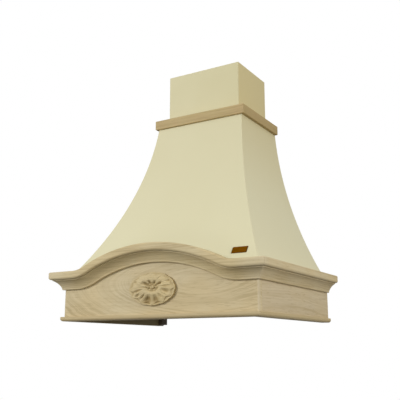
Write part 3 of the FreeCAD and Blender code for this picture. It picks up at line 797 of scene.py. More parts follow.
@dataclass(frozen=True)
class Nylon(Finish):
    """Natural nylon of the sliding pads: waxy, with fine scuffs along Z."""

    name: str = "natural nylon"
    colour: Colour = (0.700, 0.680, 0.600)
    scuffed: Colour = (0.560, 0.540, 0.470)

    def paint(self, g: Graph, place: Socket) -> Paint:
        """Scuffs drawn out along Z, paler and rougher than the rest.

        Args:
            g: Graph to add to.
            place: Object coordinates.

        Returns:
            Values by socket.
        """
        scuff = g.noise(g.scaled(place, 1.0, 1.0, 0.05), 1100.0, 3.0)
        return {"Base Color": g.mix(g.span(scuff, 0.45, 0.7), self.colour, self.scuffed),
                "Roughness": g.span(scuff, 0.3, 0.7, 0.38, 0.55),
                "Normal": g.bumped(scuff, 0.02 * MM)}


@dataclass(frozen=True)
class PaleFloor(Finish):
    """Floor of the studio: pale to the camera, and duller to the light that bounces off it."""

    name: str = "pale floor"
    pale: Colour = (0.93, 0.93, 0.93)
    grey: Colour = (0.90, 0.90, 0.90)
    dull: Colour = (0.12, 0.116, 0.108)

    def paint(self, g: Graph, place: Socket) -> Paint:
        """A faint grain in its colour and its gloss.

        Args:
            g: Graph to add to.
            place: Object coordinates.

        Returns:
            Values by socket.
        """
        grain = g.noise(place, 30.0, 3.0)
        rays = g.add("LightPath").outputs
        seen = g.math("MAXIMUM", rays["Is Camera Ray"], rays["Is Glossy Ray"])
        pale = g.mix(g.span(grain, 0.3, 0.7), self.pale, self.grey)
        return {"Base Color": g.mix(seen, self.dull, pale),
                "Roughness": g.span(grain, 0.3, 0.7, 0.7, 0.8)}


# ---------------------------------------------------------------- lines of the cover

@dataclass(frozen=True)
class Flare:
    """Hollow curve of the body: an arc between two insets, at the boards and at the collar."""

    low: float
    high: float
    radius: float
    foot: float
    top: float

    def inset(self, level: Grid, depth: Grid | float = 0.0) -> Grid:
        """Inset of the surface a depth inside the skin.

        The arc's centre lies outside, off the middle of the chord between the two insets; the
        inset is the centre's, plus the root of (radius + depth) squared less the drop squared.

        Args:
            level: Heights.
            depth: Depth inside the skin.

        Returns:
            How far the surface stands in from the boards.
        """
        across, up = self.high - self.low, self.top - self.foot
        chord = math.hypot(across, up)
        reach = math.sqrt(self.radius ** 2 - chord ** 2 / 4)
        centre_inset = (self.low + self.high) / 2 - reach * up / chord
        centre_level = (self.foot + self.top) / 2 + reach * across / chord
        return centre_inset + np.sqrt((self.radius + depth) ** 2 - (level - centre_level) ** 2)


@dataclass(frozen=True)
class Lines:
    """Main levels and faces of the cover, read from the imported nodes."""

    base: float             # underside of the lip
    board_foot: float       # where the boards stand on the lip
    board_top: float
    shoulder: float         # top of the cornice on its shoulders
    collar_low: float
    collar_high: float
    half: float             # middle to the outside of the side boards
    face: float             # front of the front board
    board_back: float       # back of the front board
    wall: float             # the wall plane
    collar_face: float
    collar_half: float
    neck_half: float        # middle to the inside of the collar
    neck_face: float        # inside of the collar's front strip
    side: Flare
    front: Flare

    @classmethod
    def read(cls) -> "Lines":
        """Read the levels from the nodes' boxes.

        Returns:
            The lines of the cover.
        """
        board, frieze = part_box("right_board"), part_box("front_board")
        collar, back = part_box("collar_front"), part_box("collar_back")
        ends = {"foot": board[1].z, "top": collar[0].z}
        return cls(
            base=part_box("front_lip")[0].z, board_foot=frieze[0].z, board_top=board[1].z,
            shoulder=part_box("right_cornice")[1].z, collar_low=collar[0].z,
            collar_high=collar[1].z, half=board[1].x, face=frieze[0].y, board_back=board[0].y,
            wall=board[1].y, collar_face=collar[0].y, collar_half=collar[1].x,
            neck_half=back[1].x, neck_face=collar[1].y,
            side=Flare(low=7 * MM, high=153.6 * MM, radius=1134 * MM, **ends),
            front=Flare(low=21.2 * MM, high=229.2 * MM, radius=1091 * MM, **ends))

    def side_x(self, level: Grid, depth: Grid | float = 0.0) -> Grid:
        """Distance of the side skin from the middle, at heights."""
        return self.half - self.side.inset(level, depth)

    def front_y(self, level: Grid, depth: Grid | float = 0.0) -> Grid:
        """Place of the front skin along Y, at heights."""
        return self.face + self.front.inset(level, depth)


@dataclass(frozen=True)
class Arch:
    """Serpentine line of the front: straight shoulders, two hollows and a round crown."""

    rise: float = 58.5 * MM
    run: float = 252 * MM
    crown: float = 480 * MM

    def line(self, x: Grid) -> tuple[Grid, Grid]:
        """Height above the shoulder and slope, at places along X.

        The crown is a circle whose top is the rise; each hollow is a circle that touches the
        shoulder at the run and the crown's circle where their slopes are equal.

        Args:
            x: Places along X.

        Returns:
            Heights, and slopes of the line.
        """
        half_tangent = self.rise / self.run
        sine = 2 * half_tangent / (1 + half_tangent ** 2)
        hollow = self.run / sine - self.crown
        away = np.abs(x)
        meet = self.crown * sine
        on_crown = np.minimum(away, meet)
        on_hollow = np.clip(self.run - away, 0, hollow * sine)
        crown_part = np.sqrt(self.crown ** 2 - on_crown ** 2)
        hollow_part = np.sqrt(hollow ** 2 - on_hollow ** 2)
        height = np.where(away < meet, self.rise - self.crown + crown_part, hollow - hollow_part)
        slope = np.where(away < meet, -on_crown / crown_part, -on_hollow / hollow_part)
        return height, slope * np.sign(x)


# ---------------------------------------------------------------- wooden base

LEVEL_RUN = (-0.1, 0.1)             # the rings of a narrow strip run level over this length
INNER_SHADE = {"painted_shade": (0.225, 0.175, 0.080), "shade_share": 0.75}          # painted shade on the inner faces of the base
CROSS_HEART = (0.1, -0.40, -0.20)   # heart of the front strips, above the base
SIDE_HEART = (0.26, -0.3, -0.2)     # and of the side strips, for the right


def heart_at(place: Point, lines: Lines, sign: int = 1) -> Point:
    """A heart given from the base, on the right or with sign -1 on the left."""
    return sign * place[0], place[1], lines.base + place[2]


@dataclass(frozen=True)
class BaseFrame:
    """Front board with its arched top, side boards, and the bull-nosed lip under them."""

    lines: Lines
    arch: Arch
    corner: float = 2.5 * MM        # rounding of the front corners
    side_edge: float = 0.8 * MM     # rounding of the side boards' long edges
    soft_edge: float = 0.6 * MM
    tuck: float = 3 * MM            # board top below the cornice's top
    lip_proud: float = 7.5 * MM
    lip_edge: float = 1.5 * MM
    lip_round: float = 7 * MM
    columns: int = 240

    def build_front(self) -> bpy.types.Object:
        """Front board: a rectangle carried across in X, its top on the arch.

        The face stands back near each end by corner - root(corner squared - run-in squared),
        which rounds the two upright corners.

        Returns:
            The object, its corners marked as "lightened": end grain and a painted highlight.
        """
        span = self.lines.half - self.corner
        turn = np.linspace(0, np.pi / 2, 13)[1:]
        ends = span + self.corner * np.sin(turn)
        x = np.concatenate([-ends[::-1], np.linspace(-span, span, self.columns), ends])
        into = np.clip(np.abs(x) - span, 0, self.corner)
        set_back = self.corner - np.sqrt(self.corner ** 2 - into ** 2)
        top = self.lines.shoulder - self.tuck + self.arch.line(x)[0]
        share = np.linspace(0, 1, 13)[None, :]
        foot = self.lines.board_foot
        level_up = foot + (top[:, None] - foot) * share
        front = np.broadcast_to((self.lines.face + set_back)[:, None], level_up.shape)
        back = np.full(level_up.shape, self.lines.board_back)
        level = np.concatenate([level_up, level_up[:, ::-1]], axis=1)
        depth = np.concatenate([front, back], axis=1)
        board = swept_solid("front_board_face", surface(x[:, None], depth, level))
        points = point_array(board)
        outside = smooth_step(np.abs(points[:, 0]), span - 0.5 * MM, span + 1.2 * MM)
        behind = smooth_step(points[:, 1] - self.lines.face, 4 * MM, 17 * MM)
        # Paler corners and end faces near the front: end grain, with a painted highlight on the
        # rounded corners.
        mark(board, "lightened", outside * (0.85 - 0.75 * behind))
        return board

    def build_side(self, side: Side) -> bpy.types.Object:
        """Side board: a rectangle carried from the front board to the wall.

        Args:
            side: Which side.

        Returns:
            The object, its inner face marked as "hollow" for painted shade.
        """
        inner = self.lines.half - (self.lines.board_back - self.lines.face)
        ring = np.array([(inner, self.lines.board_foot), (self.lines.half, self.lines.board_foot),
                         (self.lines.half, self.lines.board_top), (inner, self.lines.board_top)])
        ring = rounded_corners(ring, np.full(4, self.side_edge), 3)
        depth = np.linspace(self.lines.board_back, self.lines.wall, 16)[:, None]
        grid = surface(side.value * ring[:, 0], depth, ring[:, 1])
        board = swept_solid(side.word + "_board_face", grid)
        # Painted shade on the inner face.
        mark(board, "hollow", np.broadcast_to(ring[:, 0] < inner + 1 * MM, grid.shape[:2]))
        return board

    def lip_section(self) -> Grid:
        """Section of the lip.

        Returns:
            Closed outline, as distances out of the board and up from the lip's underside.
        """
        edge, r, proud = self.lip_edge, self.lip_round, self.lip_proud
        high = self.lines.board_foot - self.lines.base
        inner = self.lines.face - self.lines.board_back
        return outline((inner, high),
                       arc_between((proud - edge, high), (proud, high - edge), edge, -1, 5),
                       arc_between((proud, r), (proud - r, 0), r, -1), (inner, 0))

    def build_lip(self, side: Side | None = None) -> bpy.types.Object:
        """One length of the lip, mitred: its section carried across the front, or to the wall.

        Args:
            side: Which side, or none for the front.

        Returns:
            The object, its inner face marked as "hollow" for painted shade.
        """
        out, up = self.lip_section().T
        share = np.linspace(0, 1, 40)[:, None]
        half, face, wall = self.lines.half, self.lines.face, self.lines.wall
        if side is None:
            along = (2 * share - 1) * (half + out)
            depth = face - out
        else:
            along = (half + out) * side.value
            depth = (face - out) + (wall - face + out) * share
        grid = surface(along, depth, self.lines.base + up)
        strip = swept_solid((side.word if side else "front") + "_lip_strip", grid)
        # Painted shade on the inner face.
        mark(strip, "hollow", np.broadcast_to(out < -self.lip_proud, grid.shape[:2]))
        return strip

    def make_board(self, side: Side | None = None) -> None:
        """Build and dress a board.

        Args:
            side: Which side, or none for the front.
        """
        if side is None:
            wood = Timber("front board timber",
                          heart=heart_at((0.135, -0.450, 0.089), self.lines),
                          stretch=(3.5, 4.2), calm=42 * MM, pin=0.55, figure=0.68)
            board = self.build_front()
            soften(board, self.soft_edge)
            settle(board, wood.material(), COVER, WOOD, "front_board")
        else:
            # The side boards take INNER_SHADE: painted shade on their inner faces.
            wood = Timber(side.word + " board timber", Fibres.ALONG_Y, stretch=(5.3, 4.6),
                          heart=heart_at((0.285, -0.221, -0.020), self.lines, side.value),
                          pale=(0.640, 0.540, 0.360), warm=(0.632, 0.520, 0.322), **INNER_SHADE)
            settle(self.build_side(side), wood.material(), COVER, WOOD, side.word + "_board")

    def make_lip(self, side: Side | None = None) -> None:
        """Build and dress one length of the lip.

        Args:
            side: Which side, or none for the front.
        """
        # The lips take INNER_SHADE: painted shade on their inner faces.
        edge = {"level_run": LEVEL_RUN, "spacing": 6 * MM, "pale": (0.560, 0.450, 0.250),
                "warm": (0.550, 0.430, 0.228), **INNER_SHADE}
        if side is None:
            wood = Timber("lip timber", heart=heart_at(CROSS_HEART, self.lines), **edge)
            settle(self.build_lip(), wood.material(), COVER, WOOD, "front_lip")
        else:
            wood = Timber(side.word + " lip timber", Fibres.ALONG_Y,
                          heart=heart_at(SIDE_HEART, self.lines, side.value), **edge)
            settle(self.build_lip(side), wood.material(), COVER, WOOD, side.word + "_lip")


@dataclass(frozen=True)
class Cornice:
    """Moulding round the top of the base: band with an ovolo foot, quirk, cove and bead."""

    lines: Lines
    arch: Arch
    proud: float = 34 * MM
    height: float = 48.5 * MM
    band: float = 21.3 * MM
    top_round: float = 4 * MM
    ovolo: float = 6 * MM
    quirk_width: float = 2 * MM
    quirk_depth: float = 4 * MM
    fillet: float = 2.6 * MM        # height of the flat edge inside the quirk
    fillet_sill: float = 1.4 * MM
    cove: float = 38 * MM
    bead_proud: float = 6.5 * MM
    bead: float = 4 * MM
    bead_round: float = 2.2 * MM
    soft_edge: float = 0.3 * MM
    mitre: Span = (1.2 * MM, 3 * MM)    # the paler mitre line fades out between these
    mitre_share: float = 0.55
    rows: int = 220

    def section(self) -> Grid:
        """Section of the moulding.

        Returns:
            Closed outline, as distances out of the board and up from the moulding's top.
        """
        face, foot = self.proud, -self.band
        step = face - self.ovolo
        inner = step - self.quirk_width
        roof = foot + self.quirk_depth
        low = foot - self.fillet
        bead_low = (self.bead_proud, -self.height + self.bead_round)
        top_round, bead_round = self.top_round, self.bead_round
        return outline(
            (0, 0), arc_between((face - top_round, 0), (face, -top_round), top_round, -1),
            arc_between((face, foot + self.ovolo), (step, foot), self.ovolo, -1),
            (step, roof), (inner, roof), (inner, low),
            arc_between((inner - self.fillet_sill, low),
                        (self.bead_proud, self.bead - self.height), self.cove, 1, 28),
            arc_between(bead_low, (self.bead_proud - bead_round, -self.height), bead_round, -1, 5),
            (0, -self.height))

    def build_front(self) -> bpy.types.Object:
        """Front moulding: the section carried along the arch, its ends cut at 45 degrees.

        A section point (out, up) stands at (x - slope x up / root, face - out,
        line + up / root), where root is that of 1 + slope squared. The end rows stand at
        plus and minus (half width + out), which is the mitre.

        Returns:
            The object.
        """
        out, up = self.section().T
        x = np.linspace(-self.arch.run, self.arch.run, self.rows)
        height, slope = self.arch.line(x)
        root = np.sqrt(1 + slope ** 2)
        along = x[:, None] - (slope / root)[:, None] * up[None, :]
        level = height[:, None] + up[None, :] / root[:, None]
        reach = (self.lines.half + out)[None, :]
        along = np.concatenate([-reach, along, reach])
        level = np.concatenate([up[None, :], level, up[None, :]]) + self.lines.shoulder
        return swept_solid("front_cornice_moulding", surface(along, self.lines.face - out, level))

    def build_side(self, side: Side) -> bpy.types.Object:
        """Side moulding: the same section carried from the mitre to the wall.

        Args:
            side: Which side.

        Returns:
            The object.
        """
        out, up = self.section().T
        start = (self.lines.face - out)[None, :]
        depth = start + (self.lines.wall - start) * np.linspace(0, 1, 24)[:, None]
        return swept_solid(side.word + "_cornice_moulding",
                           surface(side.value * (self.lines.half + out), depth,
                                   self.lines.shoulder + up))

    def finish(self, piece: bpy.types.Object, wood: Timber, node: str) -> None:
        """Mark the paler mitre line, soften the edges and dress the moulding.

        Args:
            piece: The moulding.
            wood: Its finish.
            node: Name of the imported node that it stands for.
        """
        points = point_array(piece)
        off = (np.abs(points[:, 0]) - self.lines.half) + (points[:, 1] - self.lines.face)
        mark(piece, "lightened", self.mitre_share * (1 - smooth_step(np.abs(off), *self.mitre)))
        soften(piece, self.soft_edge)
        settle(piece, wood.material(), COVER, WOOD, node)

    def make(self, side: Side | None = None) -> None:
        """Build and dress one moulding.

        Args:
            side: Which side, or none for the front.
        """
        run = {"level_run": LEVEL_RUN, "spacing": 6 * MM}
        if side is None:
            wood = Timber("moulding timber", heart=heart_at(CROSS_HEART, self.lines),
                          stretch=(9.0, 7.0), pale=(0.650, 0.546, 0.322),
                          warm=(0.645, 0.516, 0.274), **run)
            self.finish(self.build_front(), wood, "front_cornice")
        else:
            wood = Timber(side.word + " moulding timber", Fibres.ALONG_Y,
                          heart=heart_at(SIDE_HEART, self.lines, side.value), **run)
            self.finish(self.build_side(side), wood, side.word + "_cornice")


@dataclass(frozen=True)
class WoodenBase:
    """The boards and their lip, with the cornice round them."""

    boards: BaseFrame
    cornice: Cornice

    def make(self) -> None:
        """Make the front and then each side: its board, its moulding and its lip."""
        for side in (None, *Side):
            self.boards.make_board(side)
            self.cornice.make(side)
            self.boards.make_lip(side)


@dataclass(frozen=True)
class Hollow:
    """One scooped hollow or knife cut of the carving."""

    angle: float        # degrees round the oval, from straight down towards +X
    start: float        # shares of the way from the flower to the rim
    end: float
    width: float        # half width in degrees
    depth: float        # millimetres

    def cut(self, out: Grid, turn: Grid) -> Grid:
        """Depth of the hollow: a bell curve of the angle, times a smooth hill of the way out.

        Args:
            out: Share of the way from the flower to the rim.
            turn: Angle round the oval, from straight down towards +X.

        Returns:
            Depths in millimetres.
        """
        off = np.degrees(turn) - self.angle
        off = (off + 180) % 360 - 180
        bell = np.exp(-np.abs(off / self.width) ** 2.4)
        return self.depth * bell * bump(out, self.start, self.end) ** 0.7


@dataclass(frozen=True)
class Rosette:
    """Oval carved rosette: two tiers of leaves with scooped hollows round a small flower.

    Heights and depths of the carving are in millimetres, and places on it are shares of the way
    from the flower to the rim.
    """

    lines: Lines
    half_width: float = 72 * MM
    half_height: float = 42.5 * MM
    level: float = 76.5 * MM        # middle above the base
    flower_up: float = 4 * MM       # flower above the middle, and to its right
    flower_right: float = 2.5 * MM
    leaves: int = 12
    leaf_turn: float = 1.5          # degrees that the leaves are turned by
    petals: int = 6
    rings: int = 190
    columns: int = 480
    ground: float = 6.0             # height of the carving's ground
    cushion: float = 5.2            # swell of the leaves over it
    brink: float = 0.885            # where the upper leaves end
    brink_wave: float = 0.060
    brink_drop: float = 1.5
    brink_lean: float = 0.7         # how much deeper the drop is below than at the sides
    vein: float = 0.7
    rim: float = 1.7
    bowl: float = 3.8
    petal: float = 4.8
    button: float = 4.4
    button_reach: float = 0.09
    dimple: float = 2.4
    height_span: Span = (0.5, 11.8)
    hollows: tuple[Hollow, ...] = (
        Hollow(-15, 0.40, 0.99, 12.0, 8.8), Hollow(13, 0.40, 0.97, 11.5, 6.8),
        Hollow(-37, 0.42, 0.88, 4.5, 4.6), Hollow(36, 0.42, 0.80, 5.0, 4.2),
        Hollow(69, 0.36, 0.86, 9.0, 5.4), Hollow(97, 0.32, 0.90, 2.6, 2.6),
        Hollow(124, 0.20, 0.58, 8.0, 6.2), Hollow(160, 0.18, 0.46, 9.0, 4.4),
        Hollow(199, 0.18, 0.48, 10.0, 6.0), Hollow(232, 0.16, 0.58, 12.5, 7.2),
        Hollow(267, 0.10, 0.58, 3.2, 2.8), Hollow(286, 0.36, 0.94, 5.0, 4.6),
        Hollow(305, 0.60, 0.90, 4.5, 4.2), Hollow(119, 0.70, 0.92, 4.0, 3.2),
        Hollow(241, 0.70, 0.92, 4.0, 2.2), Hollow(148, 0.50, 0.92, 4.0, 1.3),
        Hollow(182, 0.50, 0.90, 4.0, 1.2), Hollow(53, 0.50, 0.84, 2.6, 1.8))

    def relief(self, out: Grid, turn: Grid) -> Grid:
        """Height of the carving above the board.

        A ring-shaped cushion is scooped by every hollow. The upper leaves end on a wavy line,
        the brink plus its wave times the cosine of twelve times the angle, and fall from it to
        the lower leaves along the rim. The flower is a ring of petals in a bowl, round a
        dimpled button.

        Args:
            out: Share of the way from the flower to the rim.
            turn: Angle round the oval, from straight down towards +X.

        Returns:
            Heights in metres.
        """
        height = self.ground + self.cushion * bump(out, -0.05, 1.10)
        for hollow in self.hollows:
            height = height - hollow.cut(out, turn)
        wave = np.cos(self.leaves * (turn - math.radians(self.leaf_turn)))
        drop = self.brink_drop + self.brink_lean * np.cos(turn)
        past = out - (self.brink + self.brink_wave * wave)
        height = height - drop * smooth_step(past, -0.012, 0.022)
        vein = 0.5 + 0.5 * np.cos(3 * self.leaves * turn + 0.6 * np.sin(2 * turn))
        height = height - self.vein * vein ** 4 * bump(out, 0.34, 0.86)
        height = height + self.rim * bump(out, 0.88, 1.09)
        petal = (0.5 - 0.5 * np.cos(self.petals * turn)) ** 0.8
        height = height - self.bowl * bump(out, 0.03, 0.34)
        height = height + self.petal * petal * bump(out, 0.10, 0.26)
        button = np.sqrt(np.clip(1 - (out / self.button_reach) ** 2, 0, 1))
        height = height + self.button * button - self.dimple * bump(out, -0.05, 0.05)
        edge = smooth_step(1 - out, 0, 0.03)
        return np.clip(height * (0.92 + 0.08 * edge), *self.height_span) * MM

    def build(self) -> bpy.types.Object:
        """The rosette: rings of the oval raised by the relief, closed by its flat back.

        A point stands at (half width x out x sine, -half height x out x cosine) of its angle,
        drawn in a little between the lobes; rings near the middle are moved to the flower.

        Returns:
            The object, with painted shade marked as "hollow" in its hollows and on its rim.
        """
        share = np.linspace(0, 1, self.rings + 1)[1:] ** 0.9
        turn = np.linspace(0, 2 * np.pi, self.columns, endpoint=False)
        out, angle = np.meshgrid(share, turn, indexing="ij")
        lobe = 0.5 - 0.5 * np.cos(self.leaves * (angle - math.radians(self.leaf_turn)))
        fine = 0.5 - 0.5 * np.cos(2 * self.leaves * angle + 1.1)
        scallop = 1 - (0.020 * lobe ** 3 + 0.008 * fine) * out ** 6
        near = 1 - out ** 2
        face, middle = self.lines.face, self.lines.base + self.level
        x = self.half_width * out * scallop * np.sin(angle) + self.flower_right * near
        z = -self.half_height * out * scallop * np.cos(angle) + self.flower_up * near + middle
        height = self.relief(out, angle)
        grid = np.concatenate([surface(x, face - height, z), surface(x[-1], face, z[-1])[None]])
        top = float(self.relief(np.array([0.0]), np.array([0.0]))[0])
        centre = np.array([self.flower_right, face - top, middle + self.flower_up])
        carving = capped_dome("rosette_carving", centre, grid)
        # Painted shade: darker the lower the carving, half on the rim ring and full on the back
        # ring.
        hollow = np.clip((8.0 * MM - height) / (5.0 * MM), 0, 1) * smooth_step(1 - out, 0.02, 0.10)
        hollow = hollow * (0.75 + 0.25 * smooth_step(out, 0.22, 0.36))
        hollow[-1] = 0.5
        mark(carving, "hollow", np.concatenate([[0.0], hollow.ravel(), np.ones(self.columns)]))
        return carving

    def make(self) -> None:
        """Build and dress the rosette."""
        # Painted shade in the hollows and on the rim, by shade_share and painted_shade.
        wood = Timber("carving timber", heart=heart_at((0.0, -0.36, 0.02), self.lines),
                      figure=0.3, shade_share=0.85, pale=(0.640, 0.525, 0.300),
                      warm=(0.635, 0.508, 0.262), painted_shade=(0.285, 0.190, 0.062))
        settle(self.build(), wood.material(), COVER, WOOD, "rosette")


# ---------------------------------------------------------------- painted sheets

@dataclass(frozen=True)
class SheetBody:
    """Flared body of three folded sheets."""

    lines: Lines
    sheet: float = 1.2 * MM
    fold: float = 18 * MM
    flush: float = 0.1 * MM         # flanges stay this far under the heads of their screws
    gap: float = 1 * MM             # between one sheet's flange and the next
    soft_edge: float = 0.35 * MM
    points: int = 96

    def skin_ring(self, surface_at: Callable[[Grid, float], Grid], outer: float, inner: float,
                  low: float = 0.0) -> Grid:
        """Closed section of a curved strip between two depths inside a skin.

        Args:
            surface_at: Gives the skin's place at heights and a depth.
            outer: Depth of the strip's outer face.
            inner: Depth of its inner face.
            low: Height of its foot above the boards.

        Returns:
            Points up the outer face and down the inner one.
        """
        level = np.linspace(self.lines.board_top + low, self.lines.collar_low, self.points)
        return outline(np.stack([surface_at(level, outer), level], axis=-1),
                       np.stack([surface_at(level, inner), level], axis=-1)[::-1])

    def plate(self, x: Span, y: Span) -> Grid:
        """A flange that lies on the boards: its section in X and Z carried along Y.

        Args:
            x: Its reach along X.
            y: Its reach along Y.

        Returns:
            Points by row, column and axis.
        """
        foot, top = self.lines.board_top, self.lines.board_top + self.sheet - self.flush
        ring = np.array([(x[0], foot), (x[1], foot), (x[1], top), (x[0], top)])
        return surface(ring[:, 0], np.linspace(y[0], y[1], 3)[:, None], ring[:, 1])

    def mark_warm_light(self, sheet: bpy.types.Object, most: float, low: float, high: float) -> None:
        """Mark painted warm reflected light on a sheet, stronger towards the collar.

        Args:
            sheet: The object.
            most: Mark at its strongest.
            low: Share of the height at which it starts.
            high: Share of the height at which it is strongest.
        """
        foot = self.lines.board_top
        share = (point_array(sheet)[:, 2] - foot) / (self.lines.collar_low - foot)
        mark(sheet, "warm_light", most * smooth_step(share, low, high))

    def build_front(self) -> bpy.types.Object:
        """Front sheet: its section carried from side to side, and the flange at its foot.

        A section point at a height reaches from minus to plus the side skin's distance there.

        Returns:
            The object.
        """
        ring = self.skin_ring(self.lines.front_y, 0.0, self.sheet)
        along = np.linspace(-1, 1, 25)[:, None] * self.lines.side_x(ring[:, 1])
        foot = self.lines.board_top
        end = float(self.lines.side_x(foot, self.sheet)) - self.gap
        start = float(self.lines.front_y(foot))
        flange = self.plate((-end, end), (start + self.sheet / 2, start + self.fold))
        sheet = swept_solid("body_front_sheet", surface(along, ring[:, 0], ring[:, 1]), flange)
        self.mark_warm_light(sheet, 0.2, 0.1, 1.0)
        return sheet

    def build_side(self, side: Side) -> bpy.types.Object:
        """Side sheet: its section carried to the wall, and its flanges at the foot and the wall.

        Args:
            side: Which side.

        Returns:
            The object.
        """
        wall, foot, sign = self.lines.wall, self.lines.board_top, side.value
        ring = self.skin_ring(self.lines.side_x, 0.0, self.sheet)
        start = self.lines.front_y(ring[:, 1], self.sheet)
        depth = start + (wall - start) * np.linspace(0, 1, 25)[:, None]
        outer = float(self.lines.side_x(foot))
        behind = float(self.lines.front_y(foot)) + self.fold + self.gap
        flange = self.plate((sign * (outer - self.sheet / 2), sign * (outer - self.fold)),
                            (behind, wall))
        strip = self.skin_ring(self.lines.side_x, self.sheet / 2, self.sheet + self.fold,
                               self.sheet)
        back = np.array([wall - self.sheet, wall])[:, None]
        sheet = swept_solid(side.word + "_body_sheet",
                            surface(sign * ring[:, 0], depth, ring[:, 1]), flange,
                            surface(sign * strip[:, 0], back, strip[:, 1]))
        self.mark_warm_light(sheet, 0.75, 0.3, 1.1)
        return sheet

    def make(self) -> None:
        """Build and dress the three sheets."""
        paint = PowderCoat().material()
        sheets = {"body_front": self.build_front(),
                  **{side.word + "_body_side": self.build_side(side) for side in Side}}
        for node, sheet in sheets.items():
            soften(sheet, self.soft_edge)
            settle(sheet, paint, COVER, CREAM, node)


@dataclass(frozen=True)
class Badge:
    """Blank plate on the front sheet, with a raised dark rim."""

    lines: Lines
    middle_x: float = 228 * MM
    level: float = 166.5 * MM       # middle above the base
    width: float = 43 * MM
    height: float = 21 * MM
    gap: float = 0.1 * MM           # between the skin and its back
    rim: float = 1.6 * MM
    rim_share: float = 0.8          # how dark the rim is
    columns: int = 160
    profile: tuple[Span, ...] = (   # millimetres in from the edge, and out of the back
        (10.0, 1.2), (7.0, 1.2), (4.0, 1.2), (2.2, 1.2), (1.6, 1.3), (1.0, 1.5), (0.4, 1.35),
        (0.15, 1.15), (0.0, 0.8), (0.0, 0.0))

    def on_skin(self, u: Grid, v: Grid, out: Grid) -> Grid:
        """Points beside the badge's middle.

        Args:
            u: Distances along X.
            v: Distances up the slope of the skin.
            out: Distances out of the skin.

        Returns:
            Points with their axis last.
        """
        level = self.lines.base + self.level
        step = 1 * MM
        ahead, behind = self.lines.front_y(level + step), self.lines.front_y(level - step)
        rise = float(ahead - behind) / (2 * step)
        cosine = 1 / math.hypot(1, rise)
        sine = rise * cosine
        return surface(self.middle_x + u,
                       float(self.lines.front_y(level)) + v * sine - out * cosine,
                       level + v * cosine + out * sine)

    def build(self) -> bpy.types.Object:
        """The plate: rings of a rectangle that step in and out as its profile does.

        A ring's point is (cosine, sine) of its angle over the larger of the two, times the half
        width and half height less the ring's distance from the edge.

        Returns:
            The object, its rim marked as "rim".
        """
        turn = np.linspace(0, 2 * np.pi, self.columns, endpoint=False) + np.pi / self.columns
        square = np.maximum(np.abs(np.cos(turn)), np.abs(np.sin(turn)))
        inward, tall = np.array(self.profile).T[:, :, None] * MM
        u = np.cos(turn) / square * (self.width / 2 - inward)
        v = np.sin(turn) / square * (self.height / 2 - inward)
        out = self.gap + np.broadcast_to(tall, u.shape)
        zero = np.array([0.0])
        centre = self.on_skin(zero, zero, self.gap + tall[0])[0]
        plate = capped_dome("badge_blank", centre, self.on_skin(u, v, out))
        near = np.repeat(inward[:, 0] < self.rim, self.columns)
        mark(plate, "rim", self.rim_share * np.concatenate([[0.0], near]))
        return plate

    def make(self) -> None:
        """Build and dress the badge."""
        settle(self.build(), AgedBrass().material(), COVER, BADGE, "badge_plate")


# ---------------------------------------------------------------- collar and chimney

@dataclass(frozen=True)
class Chimney:
    """Square chimney of one folded sheet, open at the wall and at both ends."""

    sheet: float = 1.2 * MM
    fold: float = 18 * MM
    bend: float = 2.6 * MM
    cut_edge: float = 0.3 * MM      # rounding of the sheet's cut edges

    def build(self) -> bpy.types.Object:
        """The folded plan, its bends rounded, carried from the chimney's foot to its top.

        Returns:
            The object, all but its front marked as "warm_light" for painted warm reflected light.
        """
        low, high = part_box("chimney_cover")
        half, front, back, t = high.x, low.y, high.y, self.sheet
        inner = half - self.fold
        corners = np.array([(-half, front), (half, front), (half, back), (inner, back),
                            (inner, back - t), (half - t, back - t), (half - t, front + t),
                            (t - half, front + t), (t - half, back - t), (-inner, back - t),
                            (-inner, back), (-half, back)])
        cut, small = [self.cut_edge] * 2, [self.bend - t] * 4
        bends = np.array([self.bend] * 3 + cut + small + cut + [self.bend])
        plan = rounded_corners(corners, bends)
        grid = surface(plan[:, 0], plan[:, 1], np.linspace(low.z, high.z, 30)[:, None])
        sheet = swept_solid("chimney_sheet", grid)
        # Painted warm reflected light on the sides and back, not the front.
        beyond = plan[:, 1] > front + self.bend / 2
        mark(sheet, "warm_light", np.broadcast_to(beyond, grid.shape[:2]))
        return sheet

    def make(self) -> None:
        """Build and dress the chimney."""
        # A darker, yellower copy of the body's coat: painted shade and warm light on the chimney.
        paint = PowderCoat("cream powder coat, chimney", colour=(0.660, 0.608, 0.370),
                           shade=(0.640, 0.585, 0.345), aged=(0.655, 0.560, 0.290))
        settle(self.build(), paint.material(), CHIMNEY, CREAM, "chimney_cover")


class Strip(Enum):
    """A strip of the collar, with the way its fibres run."""

    FRONT = ("front", Fibres.ALONG_X)
    LEFT = ("left", Fibres.ALONG_Y)
    RIGHT = ("right", Fibres.ALONG_Y)
    BACK = ("back", Fibres.ALONG_X)


